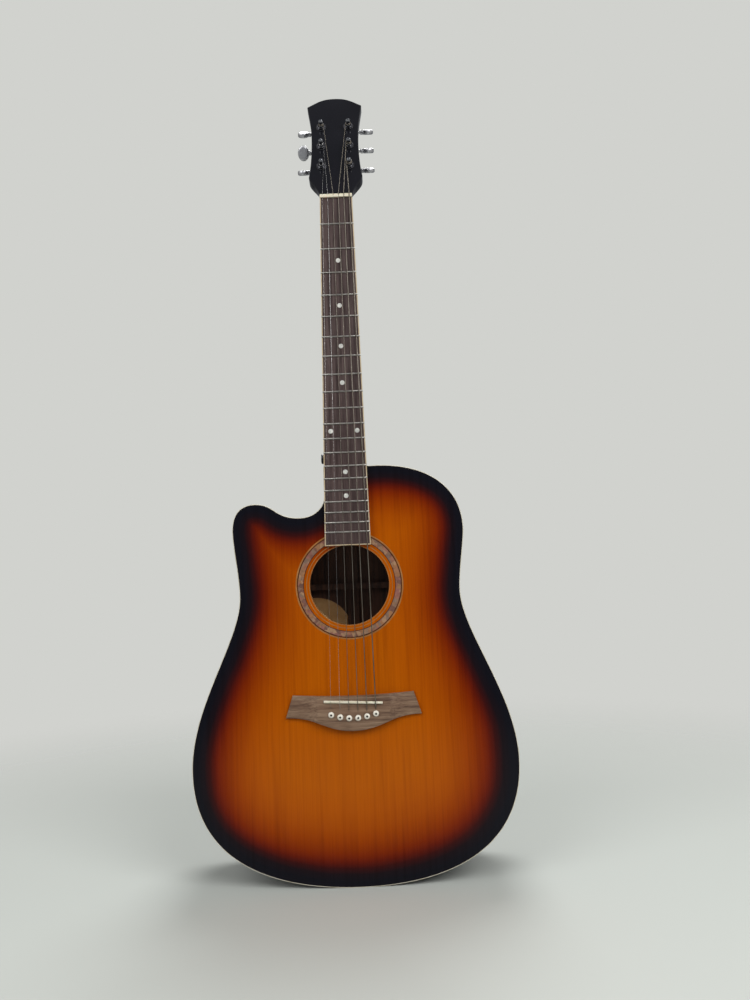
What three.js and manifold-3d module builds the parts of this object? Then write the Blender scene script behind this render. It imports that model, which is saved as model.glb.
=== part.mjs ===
// Cutaway dreadnought acoustic guitar, strung left-handed.
// Millimetres. +X is the right side seen from the front, the front faces -Y, and +Z runs up the neck.
// The origin lies under the middle of the body's depth and width, level with the tail.

import * as THREE from 'three';
import { mergeVertices } from 'three/addons/utils/BufferGeometryUtils.js';
import Module from 'manifold-3d';

const wasm = await Module();
wasm.setup();

// Clearances
const fit = 0.3; // between pieces that touch or run in each other
const overrun = 2; // how far a cutting tool passes the face it cuts

// Scale and neck
const scaleLength = 648;
const fretCount = 20;
const bodyJoinFret = 14;
const fretsPerOctave = 12;
const boardPastLastFret = 17;
const nutWidth = 43;
const boardEndWidth = 58;
const boardThickness = 6;
const neckDepthAtNut = 14.5;
const neckDepthAtHeel = 16.5;

// Body
const bodyLength = 515;
const upperBoutWidth = 294;
const waistWidth = 278;
const lowerBoutWidth = 403;
const upperBoutDrop = 84; // from the neck joint down to the widest line of the upper bout
const waistDrop = 162;
const lowerBoutDrop = 371;
const shoulderFlat = 40;
const bodyDepthAtTail = 118;
const bodyDepthAtNeck = 104;
const topThickness = 3;
const backThickness = 3;
const sideThickness = 2.4;
const bindingWidth = 1.5;
const liningWidth = 6;
const liningDepth = 14;

// Cutaway on the -X side
const cutawayWallX = 28.6;
const cutawayWallDrop = 38;
const cutawayFloorX = 60;
const cutawayFloorDrop = 64;
const hornTopX = 118;
const hornTopDrop = 44.5;
const hornSideDrop = 78;

// Soundhole and rosette
const soundholeRadius = 50;
const soundholeDrop = 151; // from the neck joint down to the hole's centre
const rosetteInner = 57.5;
const rosetteOuter = 68;
const rosetteDepth = 1;

// Bridge, saddle and pins
const bridgeHeight = 8;
const bridgeWingHeight = 3.6;
const bridgePlateau = 88; // full width of the thick middle
const bridgeTopHalf = 75;
const bridgeTipHalf = 84;
const bridgeTopDrop = 284.7; // drops are measured from the neck joint
const bridgeTopDip = 2.8; // the middle of the upper edge under its ends
const bridgeTipDrop = 312;
const bridgeBellyDrop = 329.3;
const saddleDrop = 294.5;
const saddleLength = 72.5;
const saddleThickness = 3;
const saddleTop = 10.8; // height of the crown over the top
const saddleSlotDepth = 4.5;
const saddleSlant = 1.7; // the bass end lies this much lower than the middle
const crownFlat = 0.8;
const crownDepth = 1.2;
const pinSpread = 55;
const pinDrop = 309;
const pinArc = 4.6; // the middle pins lie this much lower than the outer ones
const pinHoleRadius = 2.75;
const pinRadius = 2.4;
const pinTipRadius = 2.1;
const pinHeadRadius = 3.7;
const pinHeadHeight = 2.6;
const pinLength = 20; // below the head
const pinSlotWidth = 2;
const pinSlotFloor = 0.5;

// Strings, from the treble side (-X) to the bass side (+X)
const stringDiameters = [0.32, 0.42, 0.62, 0.82, 1.08, 1.35];
const plainStrings = 2; // bare steel wires; the others are wound with bronze
const stringSpreadAtNut = 35.5;
const stringOverNut = 1.6; // underside of a string over the board at the nut
const ballRadius = 1.9;
const ballLength = 2.8;
const ballDrop = 3; // the ball's near end below the bridge plate
const stringSlotOffset = 1.5; // the string's line beside the pin's axis
const rampLength = 10;
const rampDepth = 2.5; // where a string leaves its hole, under the bridge's face
const wrapTurns = [2.5, 2.5, 2.5, 1.75, 1.75, 1.75];
const wrapGap = 0.46; // bare space between two turns on a post

// Nut
const nutThickness = 5;
const nutHeight = 8.5; // above the top's plane

// Headstock and tuners
const headTilt = THREE.MathUtils.degToRad(15);
const headLength = 179.5;
const headThickness = 15;
const headFaceAtNut = 3.3; // the face's height over the top's plane at the nut
const headWaistHalf = 32.2;
const headShoulderHalf = 36.2;
const headCornerHalf = 38;
const headRiseShares = { shoulder: 0.2145, waist: 0.557, corner: 0.9214 }; // of the headstock's length
const tunerRowShares = [0.3175, 0.5159, 0.7086];
const tunerHalfSpread = 18.8;
const bushingHoleRadius = 4.9;
const bushingRadius = 4.6;
const washerRadius = 7;
const washerThickness = 0.7;
const hexSides = 6;
const hexAcrossFlats = 10;
const hexHeight = 2;
const postRadius = 3;
const postWaist = 0.4;
const postRise = 11; // above the headstock's face
const postHoleRadius = 0.9;
const gearRadius = 6.4;
const gearRootRadius = 5.2;
const gearTeeth = 14;
const gearWidth = 4;
const wormOffset = 10; // worm axis above the post axis, along the headstock
const wormRadius = 3.3;
const wormCoreRadius = 2.3;
const wormLength = 11;
const wormThreads = 3;
const shaftRadius = 1.9;
const housingWidth = 17;
const housingDepth = 11;
const housingWall = 1.5;
const housingCorner = 3;
const buttonStart = 18.9; // button's inner end, outwards from the post axis
const buttonLength = 15.6;
const buttonHeight = 20;
const buttonThickness = 6.5;
const buttonEdge = 1.2;
const collarRadius = 3.2;
const collarLength = 2.4;
const buttonTurns = [-44, 46, -34, -44, -44, -44].map(THREE.MathUtils.degToRad);

// Frets
const fretWidth = 2;
const fretHeight = 1;
const tangWidth = 0.6;
const tangDepth = 2;
const boardEdge = 1.5; // wood left past each end of a fret's tang
const spineWidth = 3;

// Heel, blocks, bracing, truss rod
const heelDepth = 88;
const heelLength = 78;
const heelTaperShare = 0.62;
const heelCurve = 2.4;
const keelHalf = 0.5; // half width of the shaft's last strip
const levelCrowding = 1.5; // draws the neck's sections together where the heel curves most
const tenonWidth = 22;
const tenonLength = 17;
const tenonFront = 4.5;
const tenonBack = 76;
const neckBlockLength = 60;
const neckBlockHalf = 40;
const tailBlockLength = 28;
const tailBlockHalf = 48;
const rodWidth = 6;
const rodHeight = 7;
const rodFront = 3.8;
const rodTopGap = 8; // from the nut down to the rod's upper end
const rodNutRadius = 3.7;
const rodNutLength = 10;
const rodNutBore = 1.6;
const rodNutBoreDepth = 6;
const braceWidth = 8;
const braceHeight = 14;
const xBraceDrop = 223; // where the X crosses
const xBraceAngle = THREE.MathUtils.degToRad(49);
const toneBarHeight = 9;
const toneBarWidth = 6.5;
const toneBarDrops = [326, 365];
const toneBarSlope = THREE.MathUtils.degToRad(28);
const upperBraceDrop = 86;
const upperBraceWidth = 11;
const plateThickness = 3;
const plateTopHalf = 58;
const plateBottomHalf = 84;
const plateTopDrop = 289;
const plateBottomDrop = 330;
const backStripWidth = 16;
const backStripHeight = 2.5;
const backBraceShares = [0.96, 0.785, 0.5, 0.22]; // of the way from the tail block up to the neck block
const backBraceHeight = 12;
const backBraceWidth = 8;

// Strap button on the cutaway side of the heel
const strapButtonRise = 16; // above the neck joint
const strapButtonDepth = 34; // behind the top's plane
const strapButtonReach = 33; // its outer face from the middle line
const strapFlangeRadius = 6.5;
const strapFlangeThickness = 2.6;
const strapNeckRadius = 4;
const strapBaseRadius = 5.6;
const strapFlangeEdge = 0.8;
const strapScrewRadius = 1.8;
const strapScrewLength = 14;

// Sampling
const outlineSteps = 8;
const holeSides = 36;
const boreSides = 10;
const rodSides = 8;
const stringSides = 6;
const loopSteps = 20;
const neckSteps = 7;
const heelSteps = 8;
const headSteps = 5;
const bridgeSteps = 6;
const crownSteps = 3;
const pinHeadSteps = 1;
const cornerSteps = 2;
const ovalSteps = 6;

// Places worked out from the sizes above
const jointZ = bodyLength;
const fretDistance = (n) => scaleLength * (1 - 2 ** (-n / fretsPerOctave));
const nutZ = jointZ + fretDistance(bodyJoinFret);
const boardEndZ = nutZ - fretDistance(fretCount) - boardPastLastFret;
const boardWidthAt = (z) => nutWidth + (boardEndWidth - nutWidth) * (nutZ - z) / (nutZ - boardEndZ);
const boardBack = -fit;
const boardFace = boardBack - boardThickness;
const atDrop = (drop) => bodyLength - drop;
const backAt = (z) => bodyDepthAtTail + (bodyDepthAtNeck - bodyDepthAtTail) * z / bodyLength;
const soundholeZ = atDrop(soundholeDrop);
const headShoulderRise = headLength * headRiseShares.shoulder;
const headWaistRise = headLength * headRiseShares.waist;
const headCornerRise = headLength * headRiseShares.corner;
const insideFront = topThickness + fit;
const insideBackAt = (z) => backAt(z) - backThickness - fit;

// Finishes
function paint(color, roughness, metalness = 0) {
  return new THREE.MeshStandardMaterial({ color, roughness, metalness });
}
const finishes = {
  burst: paint(0xa8560c, 0.15),
  black: paint(0x0c0c0e, 0.12),
  binding: paint(0xe9e2cf, 0.35),
  board: paint(0x4a3733, 0.6),
  bridge: paint(0x57453e, 0.55),
  bone: paint(0xf2eee2, 0.4),
  pearl: paint(0x8f918f, 0.35),
  spruce: paint(0xdcc394, 0.7),
  mahogany: paint(0x8a5a3c, 0.7),
  chrome: paint(0xc9cbcf, 0.15, 1),
  nickel: paint(0xb8b7b2, 0.3, 1),
  steel: paint(0x8d8f92, 0.3, 1),
  bronze: paint(0xb08a55, 0.35, 1),
};

const guitar = new THREE.Group();
const headstock = new THREE.Group();
headstock.position.set(0, -headFaceAtNut, nutZ);
headstock.rotation.x = Math.PI / 2 - headTilt; // its x, y and z run right, up the head and out of its face
guitar.add(headstock);
headstock.updateMatrixWorld(true);

function addPiece(name, geometry, material, parent = guitar) {
  const mesh = new THREE.Mesh(geometry, material);
  mesh.name = name;
  parent.add(mesh);
  return mesh;
}

// Joining and cutting of closed shapes
function toSolid(shape) {
  if (!shape.isBufferGeometry) return shape;
  const bare = shape.clone();
  bare.deleteAttribute('normal');
  bare.deleteAttribute('uv');
  const merged = mergeVertices(bare);
  return new wasm.Manifold(new wasm.Mesh({
    numProp: 3,
    vertProperties: new Float32Array(merged.attributes.position.array),
    triVerts: new Uint32Array(merged.index.array),
  }));
}

function toGeometry(solid) {
  const mesh = solid.getMesh();
  const geometry = new THREE.BufferGeometry();
  geometry.setAttribute('position', new THREE.BufferAttribute(mesh.vertProperties, 3));
  geometry.setIndex(new THREE.BufferAttribute(mesh.triVerts, 1));
  return geometry;
}

const join = (first, ...others) => others.reduce((sum, shape) => sum.add(toSolid(shape)), toSolid(first));
const cut = (first, ...cutters) => cutters.reduce((rest, shape) => rest.subtract(toSolid(shape)),
  toSolid(first));
const common = (first, second) => toSolid(first).intersect(toSolid(second));

// Basic shapes
function block(x0, x1, y0, y1, z0, z1) {
  return new THREE.BoxGeometry(x1 - x0, y1 - y0, z1 - z0)
    .translate((x0 + x1) / 2, (y0 + y1) / 2, (z0 + z1) / 2);
}

// A flat plate with its outline in X and Z, between a front and a back that may slope with Z
const sloping = (depth) => (typeof depth === 'function' ? depth : () => depth);
function plate(points, front, back, holes = []) {
  const shape = new THREE.Shape(points);
  shape.holes = holes.map((hole) => new THREE.Path(hole));
  const geometry = new THREE.ExtrudeGeometry(shape, { depth: 1, bevelEnabled: false, steps: 1 });
  const frontAt = sloping(front);
  const backFaceAt = sloping(back);
  const place = geometry.attributes.position;
  for (let i = 0; i < place.count; i += 1) {
    const z = place.getY(i);
    const y = place.getZ(i) > 0 ? frontAt(z) : backFaceAt(z);
    place.setXYZ(i, place.getX(i), y, z);
  }
  return geometry;
}

// A band of that plate between an outer and an inner outline
function band(outer, inner, front, back) {
  return cut(plate(outer, front, back),
    plate(inner, (z) => sloping(front)(z) - overrun, (z) => sloping(back)(z) + overrun));
}

function circle(radius, x, z, sides) {
  return Array.from({ length: sides }, (_, i) => {
    const turn = i / sides * Math.PI * 2;
    return new THREE.Vector2(x + radius * Math.cos(turn), z + radius * Math.sin(turn));
  });
}

// A rod along Y between two depths
function rodY(radius, x, z, y0, y1, sides = rodSides) {
  return new THREE.CylinderGeometry(radius, radius, y1 - y0, sides).translate(x, (y0 + y1) / 2, z);
}

function lathe(profile, sides = rodSides) {
  return new THREE.LatheGeometry(profile.map(([r, h]) => new THREE.Vector2(r, h)), sides);
}

// The same outline drawn inwards by a distance
function inset(points, distance) {
  const area = THREE.ShapeUtils.area(points);
  const side = Math.sign(area);
  return points.map((point, i) => {
    const before = points[(i + points.length - 1) % points.length];
    const after = points[(i + 1) % points.length];
    const a = point.clone().sub(before).normalize();
    const b = after.clone().sub(point).normalize();
    const normalA = new THREE.Vector2(-a.y, a.x).multiplyScalar(side);
    const normalB = new THREE.Vector2(-b.y, b.x).multiplyScalar(side);
    const mitre = normalA.clone().add(normalB).normalize();
    return point.clone().addScaledVector(mitre, distance / Math.max(mitre.dot(normalA), Math.SQRT1_2));
  });
}

// One closed tube along points, with its own radius at each point
function tube(points, radii, sides = stringSides) {
  const positions = [];
  const index = [];
  const count = points.length;
  const tangents = points.map((point, i) => points[Math.min(i + 1, count - 1)].clone()
    .sub(points[Math.max(i - 1, 0)]).normalize());
  const side = new THREE.Vector3(1, 0, 0).cross(tangents[0]).normalize();
  points.forEach((point, i) => {
    side.addScaledVector(tangents[i], -side.dot(tangents[i])).normalize();
    const other = tangents[i].clone().cross(side);
    for (let k = 0; k < sides; k += 1) {
      const turn = k / sides * Math.PI * 2;
      const corner = point.clone()
        .addScaledVector(side, radii[i] * Math.cos(turn))
        .addScaledVector(other, radii[i] * Math.sin(turn));
      positions.push(corner.x, corner.y, corner.z);
    }
  });
  for (let i = 0; i + 1 < count; i += 1) {
    for (let k = 0; k < sides; k += 1) {
      const a = i * sides + k;
      const b = i * sides + (k + 1) % sides;
      index.push(a, b, b + sides, a, b + sides, a + sides);
    }
  }
  const last = (count - 1) * sides;
  for (let k = 1; k + 1 < sides; k += 1) {
    index.push(0, k + 1, k, last, last + k, last + k + 1);
  }
  const geometry = new THREE.BufferGeometry();
  geometry.setAttribute('position', new THREE.Float32BufferAttribute(positions, 3));
  geometry.setIndex(index);
  return geometry;
}

// Shares that shape the curves of the headstock and the bridge
const headShares = {
  flareOut: 0.55, flareIn: 0.71, shoulderLean: 0.45, shoulderOut: 0.2, waist: 0.22, corner: 0.9,
  ogeeOut: 0.62, ogeeLow: 0.62, ogeeIn: 0.5,
};
const bridgeShares = { flare: 1.06, wing: 0.5, belly: 0.42 };
const scoopShare = 0.25;
const sleeveShare = 0.75; // of the headstock's thickness

// Body outline: one full shoulder, two bouts, and the cutaway with its horn
const outlineShares = {
  shoulderOut: 0.6, shoulderIn: 0.63, upperOut: 0.23, waistIn: 0.31, waistOut: 0.255, boutIn: 0.378,
  boutOut: 0.75, tailIn: 0.53, hornSide: 0.63, hornTop: 0.66, hornInner: 0.45, floorOut: 0.57, wall: 0.55,
};

function bodyOutline() {
  const s = outlineShares;
  const upper = upperBoutWidth / 2;
  const waist = waistWidth / 2;
  const lower = lowerBoutWidth / 2;
  const upperZ = atDrop(upperBoutDrop);
  const waistZ = atDrop(waistDrop);
  const lowerZ = atDrop(lowerBoutDrop);
  const hornZ = atDrop(hornSideDrop);
  const crestZ = atDrop(hornTopDrop);
  const floorZ = atDrop(cutawayFloorDrop);
  const wallZ = atDrop(cutawayWallDrop);
  const shape = new THREE.Shape();
  shape.moveTo(shoulderFlat, bodyLength);
  shape.bezierCurveTo(shoulderFlat + s.shoulderOut * (upper - shoulderFlat), bodyLength,
    upper, upperZ + s.shoulderIn * upperBoutDrop, upper, upperZ);
  shape.bezierCurveTo(upper, upperZ - s.upperOut * (upperZ - waistZ),
    waist, waistZ + s.waistIn * (upperZ - waistZ), waist, waistZ);
  shape.bezierCurveTo(waist, waistZ - s.waistOut * (waistZ - lowerZ),
    lower, lowerZ + s.boutIn * (waistZ - lowerZ), lower, lowerZ);
  shape.bezierCurveTo(lower, lowerZ - s.boutOut * lowerZ, s.tailIn * lower, 0, 0, 0);
  shape.bezierCurveTo(-s.tailIn * lower, 0, -lower, lowerZ - s.boutOut * lowerZ, -lower, lowerZ);
  shape.bezierCurveTo(-lower, lowerZ + s.boutIn * (waistZ - lowerZ),
    -waist, waistZ - s.waistOut * (waistZ - lowerZ), -waist, waistZ);
  shape.bezierCurveTo(-waist, waistZ + s.waistIn * (hornZ - waistZ),
    -upper, hornZ - s.upperOut * (hornZ - waistZ), -upper, hornZ);
  shape.bezierCurveTo(-upper, hornZ + s.hornSide * (crestZ - hornZ),
    -hornTopX - s.hornTop * (upper - hornTopX), crestZ, -hornTopX, crestZ);
  shape.bezierCurveTo(-hornTopX + s.hornInner * (hornTopX - cutawayFloorX), crestZ,
    -cutawayFloorX - s.floorOut * (hornTopX - cutawayFloorX), floorZ, -cutawayFloorX, floorZ);
  shape.bezierCurveTo(-cutawayFloorX + s.wall * (cutawayFloorX - cutawayWallX), floorZ,
    -cutawayWallX, wallZ + s.wall * (floorZ - wallZ), -cutawayWallX, wallZ);
  shape.lineTo(-cutawayWallX, bodyLength);
  return shape.getPoints(outlineSteps);
}

const rim = bodyOutline();
const plateRim = inset(rim, bindingWidth + fit);
const bindingInner = inset(rim, bindingWidth);
const sideInner = inset(rim, sideThickness);
const liningOuter = inset(rim, sideThickness + fit);
const liningInner = inset(rim, sideThickness + fit + liningWidth);
const roomRim = inset(rim, sideThickness + fit + liningWidth + fit);

// Bridge pins and string lines
const stringCount = stringDiameters.length;
const middleString = (stringCount - 1) / 2;
const stringPlaces = stringDiameters.map((diameter, i) => {
  const side = (i - middleString) / middleString;
  return {
    diameter,
    radius: diameter / 2,
    pinX: side * pinSpread / 2,
    pinZ: atDrop(pinDrop + pinArc * (1 - side ** 2)),
    nutX: side * stringSpreadAtNut / 2,
    saddleZ: atDrop(saddleDrop) - saddleSlant * side * pinSpread / saddleLength,
  };
});
const pinHolePoints = stringPlaces.map(({ pinX, pinZ }) => circle(pinHoleRadius, pinX, pinZ, boreSides));

// Soundboard, with the soundhole, the pin holes and the rosette's groove
const soundboardBlank = plate(plateRim, 0, topThickness,
  [circle(soundholeRadius, 0, soundholeZ, holeSides), ...pinHolePoints]);
const rosetteGroove = plate(circle(rosetteOuter + fit, 0, soundholeZ, holeSides), -overrun,
  rosetteDepth + fit, [circle(rosetteInner - fit, 0, soundholeZ, holeSides)]);
addPiece('soundboard', toGeometry(cut(soundboardBlank, rosetteGroove)), finishes.burst);
addPiece('rosette', plate(circle(rosetteOuter, 0, soundholeZ, holeSides), 0, rosetteDepth,
  [circle(rosetteInner, 0, soundholeZ, holeSides)]), finishes.pearl);

// Back plate and the two bindings
addPiece('back_plate', plate(plateRim, (z) => backAt(z) - backThickness, backAt), finishes.black);
addPiece('top_binding', toGeometry(band(rim, bindingInner, 0, topThickness)), finishes.binding);
addPiece('back_binding', toGeometry(band(rim, bindingInner, (z) => backAt(z) - backThickness, backAt)),
  finishes.binding);

// Sides: one bent band, split at the tail and open at the neck joint for the tenon
const tenonHalf = tenonWidth / 2 + fit;
const sideOpening = block(-tenonHalf, tenonHalf, 0, tenonBack + fit, jointZ - sideThickness - overrun,
  jointZ + overrun);
const bentSides = cut(band(rim, sideInner, insideFront, insideBackAt), sideOpening);
const bassHalf = block(fit / 2, lowerBoutWidth, -overrun, bodyDepthAtTail + overrun, -overrun,
  jointZ + overrun);
const trebleHalf = block(-lowerBoutWidth, -fit / 2, -overrun, bodyDepthAtTail + overrun, -overrun,
  jointZ + overrun);
addPiece('side_bass', toGeometry(common(bentSides, bassHalf)), finishes.black);
addPiece('side_treble', toGeometry(common(bentSides, trebleHalf)), finishes.black);

// Neck block with the mortise for the tenon and the truss rod's way out
const insideRoom = plate(liningOuter, insideFront, insideBackAt);
const mortise = block(-tenonHalf, tenonHalf, tenonFront - fit, tenonBack + fit, jointZ - tenonLength - fit,
  jointZ + overrun);
const rodHalf = rodWidth / 2 + fit;
const rodBack = rodFront + rodHeight;
const neckBlockZ = jointZ - sideThickness - fit - neckBlockLength;
const rodWay = block(-rodHalf, rodHalf, 0, rodBack + fit, neckBlockZ - overrun, jointZ);
const neckBlock = common(insideRoom,
  block(-neckBlockHalf, neckBlockHalf, 0, bodyDepthAtTail, neckBlockZ, jointZ));
addPiece('neck_block', toGeometry(cut(neckBlock, mortise, rodWay)), finishes.mahogany);

// Kerfed linings: a rim inside the sides at each plate, open at the neck block and let into the tail block
const neckBlockRoom = block(-neckBlockHalf - fit, neckBlockHalf + fit, 0, bodyDepthAtTail,
  neckBlockZ - fit, jointZ + overrun);
const topLiningBack = insideFront + liningDepth;
const backLiningFrontAt = (z) => insideBackAt(z) - liningDepth;
addPiece('top_lining', toGeometry(cut(band(liningOuter, liningInner, insideFront, topLiningBack),
  neckBlockRoom)), finishes.mahogany);
addPiece('back_lining', toGeometry(cut(band(liningOuter, liningInner, backLiningFrontAt, insideBackAt),
  neckBlockRoom)), finishes.mahogany);
const tailBlockZ = sideThickness + fit + tailBlockLength;
const tailBlock = common(insideRoom,
  block(-tailBlockHalf, tailBlockHalf, 0, bodyDepthAtTail, -overrun, tailBlockZ));
const topRebate = band(rim, roomRim, 0, topLiningBack + fit);
const backRebate = band(rim, roomRim, (z) => backLiningFrontAt(z) - fit, bodyDepthAtTail + overrun);
addPiece('tail_block', toGeometry(cut(tailBlock, topRebate, backRebate)), finishes.mahogany);

// A straight bar in the body, from one point of its middle line to another
const braceRoom = plate(roomRim, insideFront, insideBackAt);
function bar(x0, z0, x1, z1, width, front, back) {
  const side = new THREE.Vector2(z0 - z1, x1 - x0).setLength(width / 2);
  return plate([
    new THREE.Vector2(x0 - side.x, z0 - side.y), new THREE.Vector2(x1 - side.x, z1 - side.y),
    new THREE.Vector2(x1 + side.x, z1 + side.y), new THREE.Vector2(x0 + side.x, z0 + side.y),
  ], front, back);
}

// Bracing under the top: an X below the soundhole, with two tone bars off one of its legs
const braceReach = lowerBoutWidth / 2;
const xBraceZ = atDrop(xBraceDrop);
const legRise = braceReach / Math.tan(xBraceAngle);
const braceBack = insideFront + braceHeight;
const xLegs = [1, -1].map((side) => bar(-side * braceReach, xBraceZ - legRise, side * braceReach,
  xBraceZ + legRise, braceWidth, insideFront, braceBack));
const toneBars = toneBarDrops.map((drop) => {
  const startZ = atDrop(drop);
  const startX = (startZ - xBraceZ) * Math.tan(xBraceAngle);
  const run = braceReach - startX;
  return bar(startX, startZ, braceReach, startZ - run * Math.tan(toneBarSlope), toneBarWidth,
    insideFront, insideFront + toneBarHeight);
});
addPiece('top_bracing', toGeometry(common(join(...xLegs, ...toneBars), braceRoom)), finishes.spruce);
const upperBraceZ = atDrop(upperBraceDrop);
addPiece('upper_brace', toGeometry(common(
  bar(-braceReach, upperBraceZ, braceReach, upperBraceZ, upperBraceWidth, insideFront, braceBack),
  braceRoom,
)), finishes.spruce);

// Bridge plate under the top
const plateBack = insideFront + plateThickness;
addPiece('bridge_plate', plate([
  new THREE.Vector2(-plateBottomHalf, atDrop(plateBottomDrop)),
  new THREE.Vector2(plateBottomHalf, atDrop(plateBottomDrop)),
  new THREE.Vector2(plateTopHalf, atDrop(plateTopDrop)),
  new THREE.Vector2(-plateTopHalf, atDrop(plateTopDrop)),
], insideFront, plateBack, pinHolePoints), finishes.mahogany);

// Back bracing: a strip over the seam, with a brace across it at each place
const backStrip = bar(0, tailBlockZ + fit, 0, neckBlockZ - fit, backStripWidth,
  (z) => insideBackAt(z) - backStripHeight, insideBackAt);
const backBraces = backBraceShares.map((share) => {
  const z = tailBlockZ + share * (neckBlockZ - tailBlockZ);
  return bar(-braceReach, z, braceReach, z, backBraceWidth,
    (level) => insideBackAt(level) - backBraceHeight, insideBackAt);
});
addPiece('back_bracing', toGeometry(common(join(backStrip, ...backBraces), braceRoom)), finishes.mahogany);

// Neck: a rounded shaft that deepens into the heel, the tenon below it and the tilted headstock above it
const heelFoot = jointZ + fit;
const ledgeZ = nutZ + nutThickness + 2 * fit;
function neckShapeAt(z) {
  const halfWidth = boardWidthAt(Math.min(z, nutZ)) / 2;
  const up = THREE.MathUtils.clamp((z - jointZ) / heelLength, 0, 1);
  const heel = (1 - up) ** heelCurve;
  const shaft = THREE.MathUtils.mapLinear(z, jointZ, nutZ, neckDepthAtHeel, neckDepthAtNut);
  return { halfWidth, heel, depth: shaft + (heelDepth - neckDepthAtHeel) * heel };
}
function neckHalfWidthAt(z, depthShare) {
  const { halfWidth, heel } = neckShapeAt(z);
  const round = Math.sqrt(1 - depthShare ** 2);
  const tapered = 1 - heelTaperShare * depthShare;
  return Math.max(halfWidth * (round + (tapered - round) * Math.sqrt(heel)), keelHalf);
}
function neckSection(z) {
  const { depth } = neckShapeAt(z);
  const half = Array.from({ length: neckSteps + 1 }, (_, i) => {
    const depthShare = Math.sin(i / neckSteps * Math.PI / 2);
    return [neckHalfWidthAt(z, depthShare), depth * depthShare];
  });
  const right = half.map(([x, y]) => new THREE.Vector3(x, y, z));
  const left = half.map(([x, y]) => new THREE.Vector3(-x, y, z)).reverse();
  return [...right, ...left];
}
function loft(sections) {
  const size = sections[0].length;
  const positions = sections.flat().flatMap((point) => [point.x, point.y, point.z]);
  const index = [];
  for (let i = 0; i + 1 < sections.length; i += 1) {
    for (let k = 0; k < size; k += 1) {
      const a = i * size + k;
      const b = i * size + (k + 1) % size;
      index.push(a, b, b + size, a, b + size, a + size);
    }
  }
  const last = (sections.length - 1) * size;
  for (let k = 1; k + 1 < size; k += 1) {
    index.push(0, k + 1, k, last, last + k, last + k + 1);
  }
  const geometry = new THREE.BufferGeometry();
  geometry.setAttribute('position', new THREE.Float32BufferAttribute(positions, 3));
  geometry.setIndex(index);
  return geometry;
}
const neckLevels = [
  ...Array.from({ length: heelSteps + 1 }, (_, i) => heelFoot + (i / heelSteps) ** levelCrowding
    * (heelLength - fit)),
  nutZ, ledgeZ,
];
const neckBody = loft(neckLevels.map(neckSection));

function headOutline() {
  const s = headShares;
  const shape = new THREE.Shape();
  const half = nutWidth / 2;
  const waistHandle = s.waist * (headCornerRise - headShoulderRise);
  const leanHalf = headWaistHalf + s.shoulderLean * (headShoulderHalf - headWaistHalf);
  const leanRise = headShoulderRise + s.shoulderOut * (headWaistRise - headShoulderRise);
  shape.moveTo(-half, 0);
  shape.lineTo(half, 0);
  shape.bezierCurveTo(half, s.flareOut * headShoulderRise, headShoulderHalf, s.flareIn * headShoulderRise,
    headShoulderHalf, headShoulderRise);
  shape.bezierCurveTo(leanHalf, leanRise, headWaistHalf, headWaistRise - waistHandle,
    headWaistHalf, headWaistRise);
  shape.bezierCurveTo(headWaistHalf, headWaistRise + waistHandle,
    s.corner * headCornerHalf, headCornerRise - waistHandle, headCornerHalf, headCornerRise);
  const crest = headLength - headCornerRise;
  shape.bezierCurveTo(s.ogeeOut * headCornerHalf, headCornerRise + s.ogeeLow * crest,
    s.ogeeIn * headCornerHalf, headLength, 0, headLength);
  shape.bezierCurveTo(-s.ogeeIn * headCornerHalf, headLength,
    -s.ogeeOut * headCornerHalf, headCornerRise + s.ogeeLow * crest, -headCornerHalf, headCornerRise);
  shape.bezierCurveTo(-s.corner * headCornerHalf, headCornerRise - waistHandle,
    -headWaistHalf, headWaistRise + waistHandle, -headWaistHalf, headWaistRise);
  shape.bezierCurveTo(-headWaistHalf, headWaistRise - waistHandle, -leanHalf, leanRise,
    -headShoulderHalf, headShoulderRise);
  shape.bezierCurveTo(-headShoulderHalf, s.flareIn * headShoulderRise, -half, s.flareOut * headShoulderRise,
    -half, 0);
  return new THREE.Shape(shape.getPoints(headSteps).slice(0, -1));
}
const upright = (depth) => ({ depth, bevelEnabled: false, steps: 1 });
const headSlab = new THREE.ExtrudeGeometry(headOutline(), upright(headThickness))
  .translate(0, 0, -headThickness)
  .applyMatrix4(headstock.matrixWorld);

// Where each string's tuner stands on the headstock: outer strings at the low row, inner ones at the top
const tuners = stringPlaces.map((place, i) => {
  const side = i < middleString ? -1 : 1;
  const row = side < 0 ? i : stringCount - 1 - i;
  return { ...place, side, x: side * tunerHalfSpread, rise: headLength * tunerRowShares[row] };
});
const tunerHoles = tuners.map(({ x, rise }) => new THREE.CylinderGeometry(bushingHoleRadius,
  bushingHoleRadius, headThickness + 2 * overrun, boreSides)
  .rotateX(Math.PI / 2)
  .translate(x, rise, -headThickness / 2)
  .applyMatrix4(headstock.matrixWorld));
const tenon = block(-tenonWidth / 2, tenonWidth / 2, tenonFront, tenonBack, jointZ - tenonLength,
  jointZ + overrun);
const boardRoom = block(-headCornerHalf, headCornerHalf, -headLength, 0, boardEndZ, ledgeZ);
const rodTopZ = nutZ - rodTopGap;
const rodChannel = block(-rodHalf, rodHalf, -overrun, rodBack + fit, jointZ - tenonLength - overrun,
  rodTopZ + fit);

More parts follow.
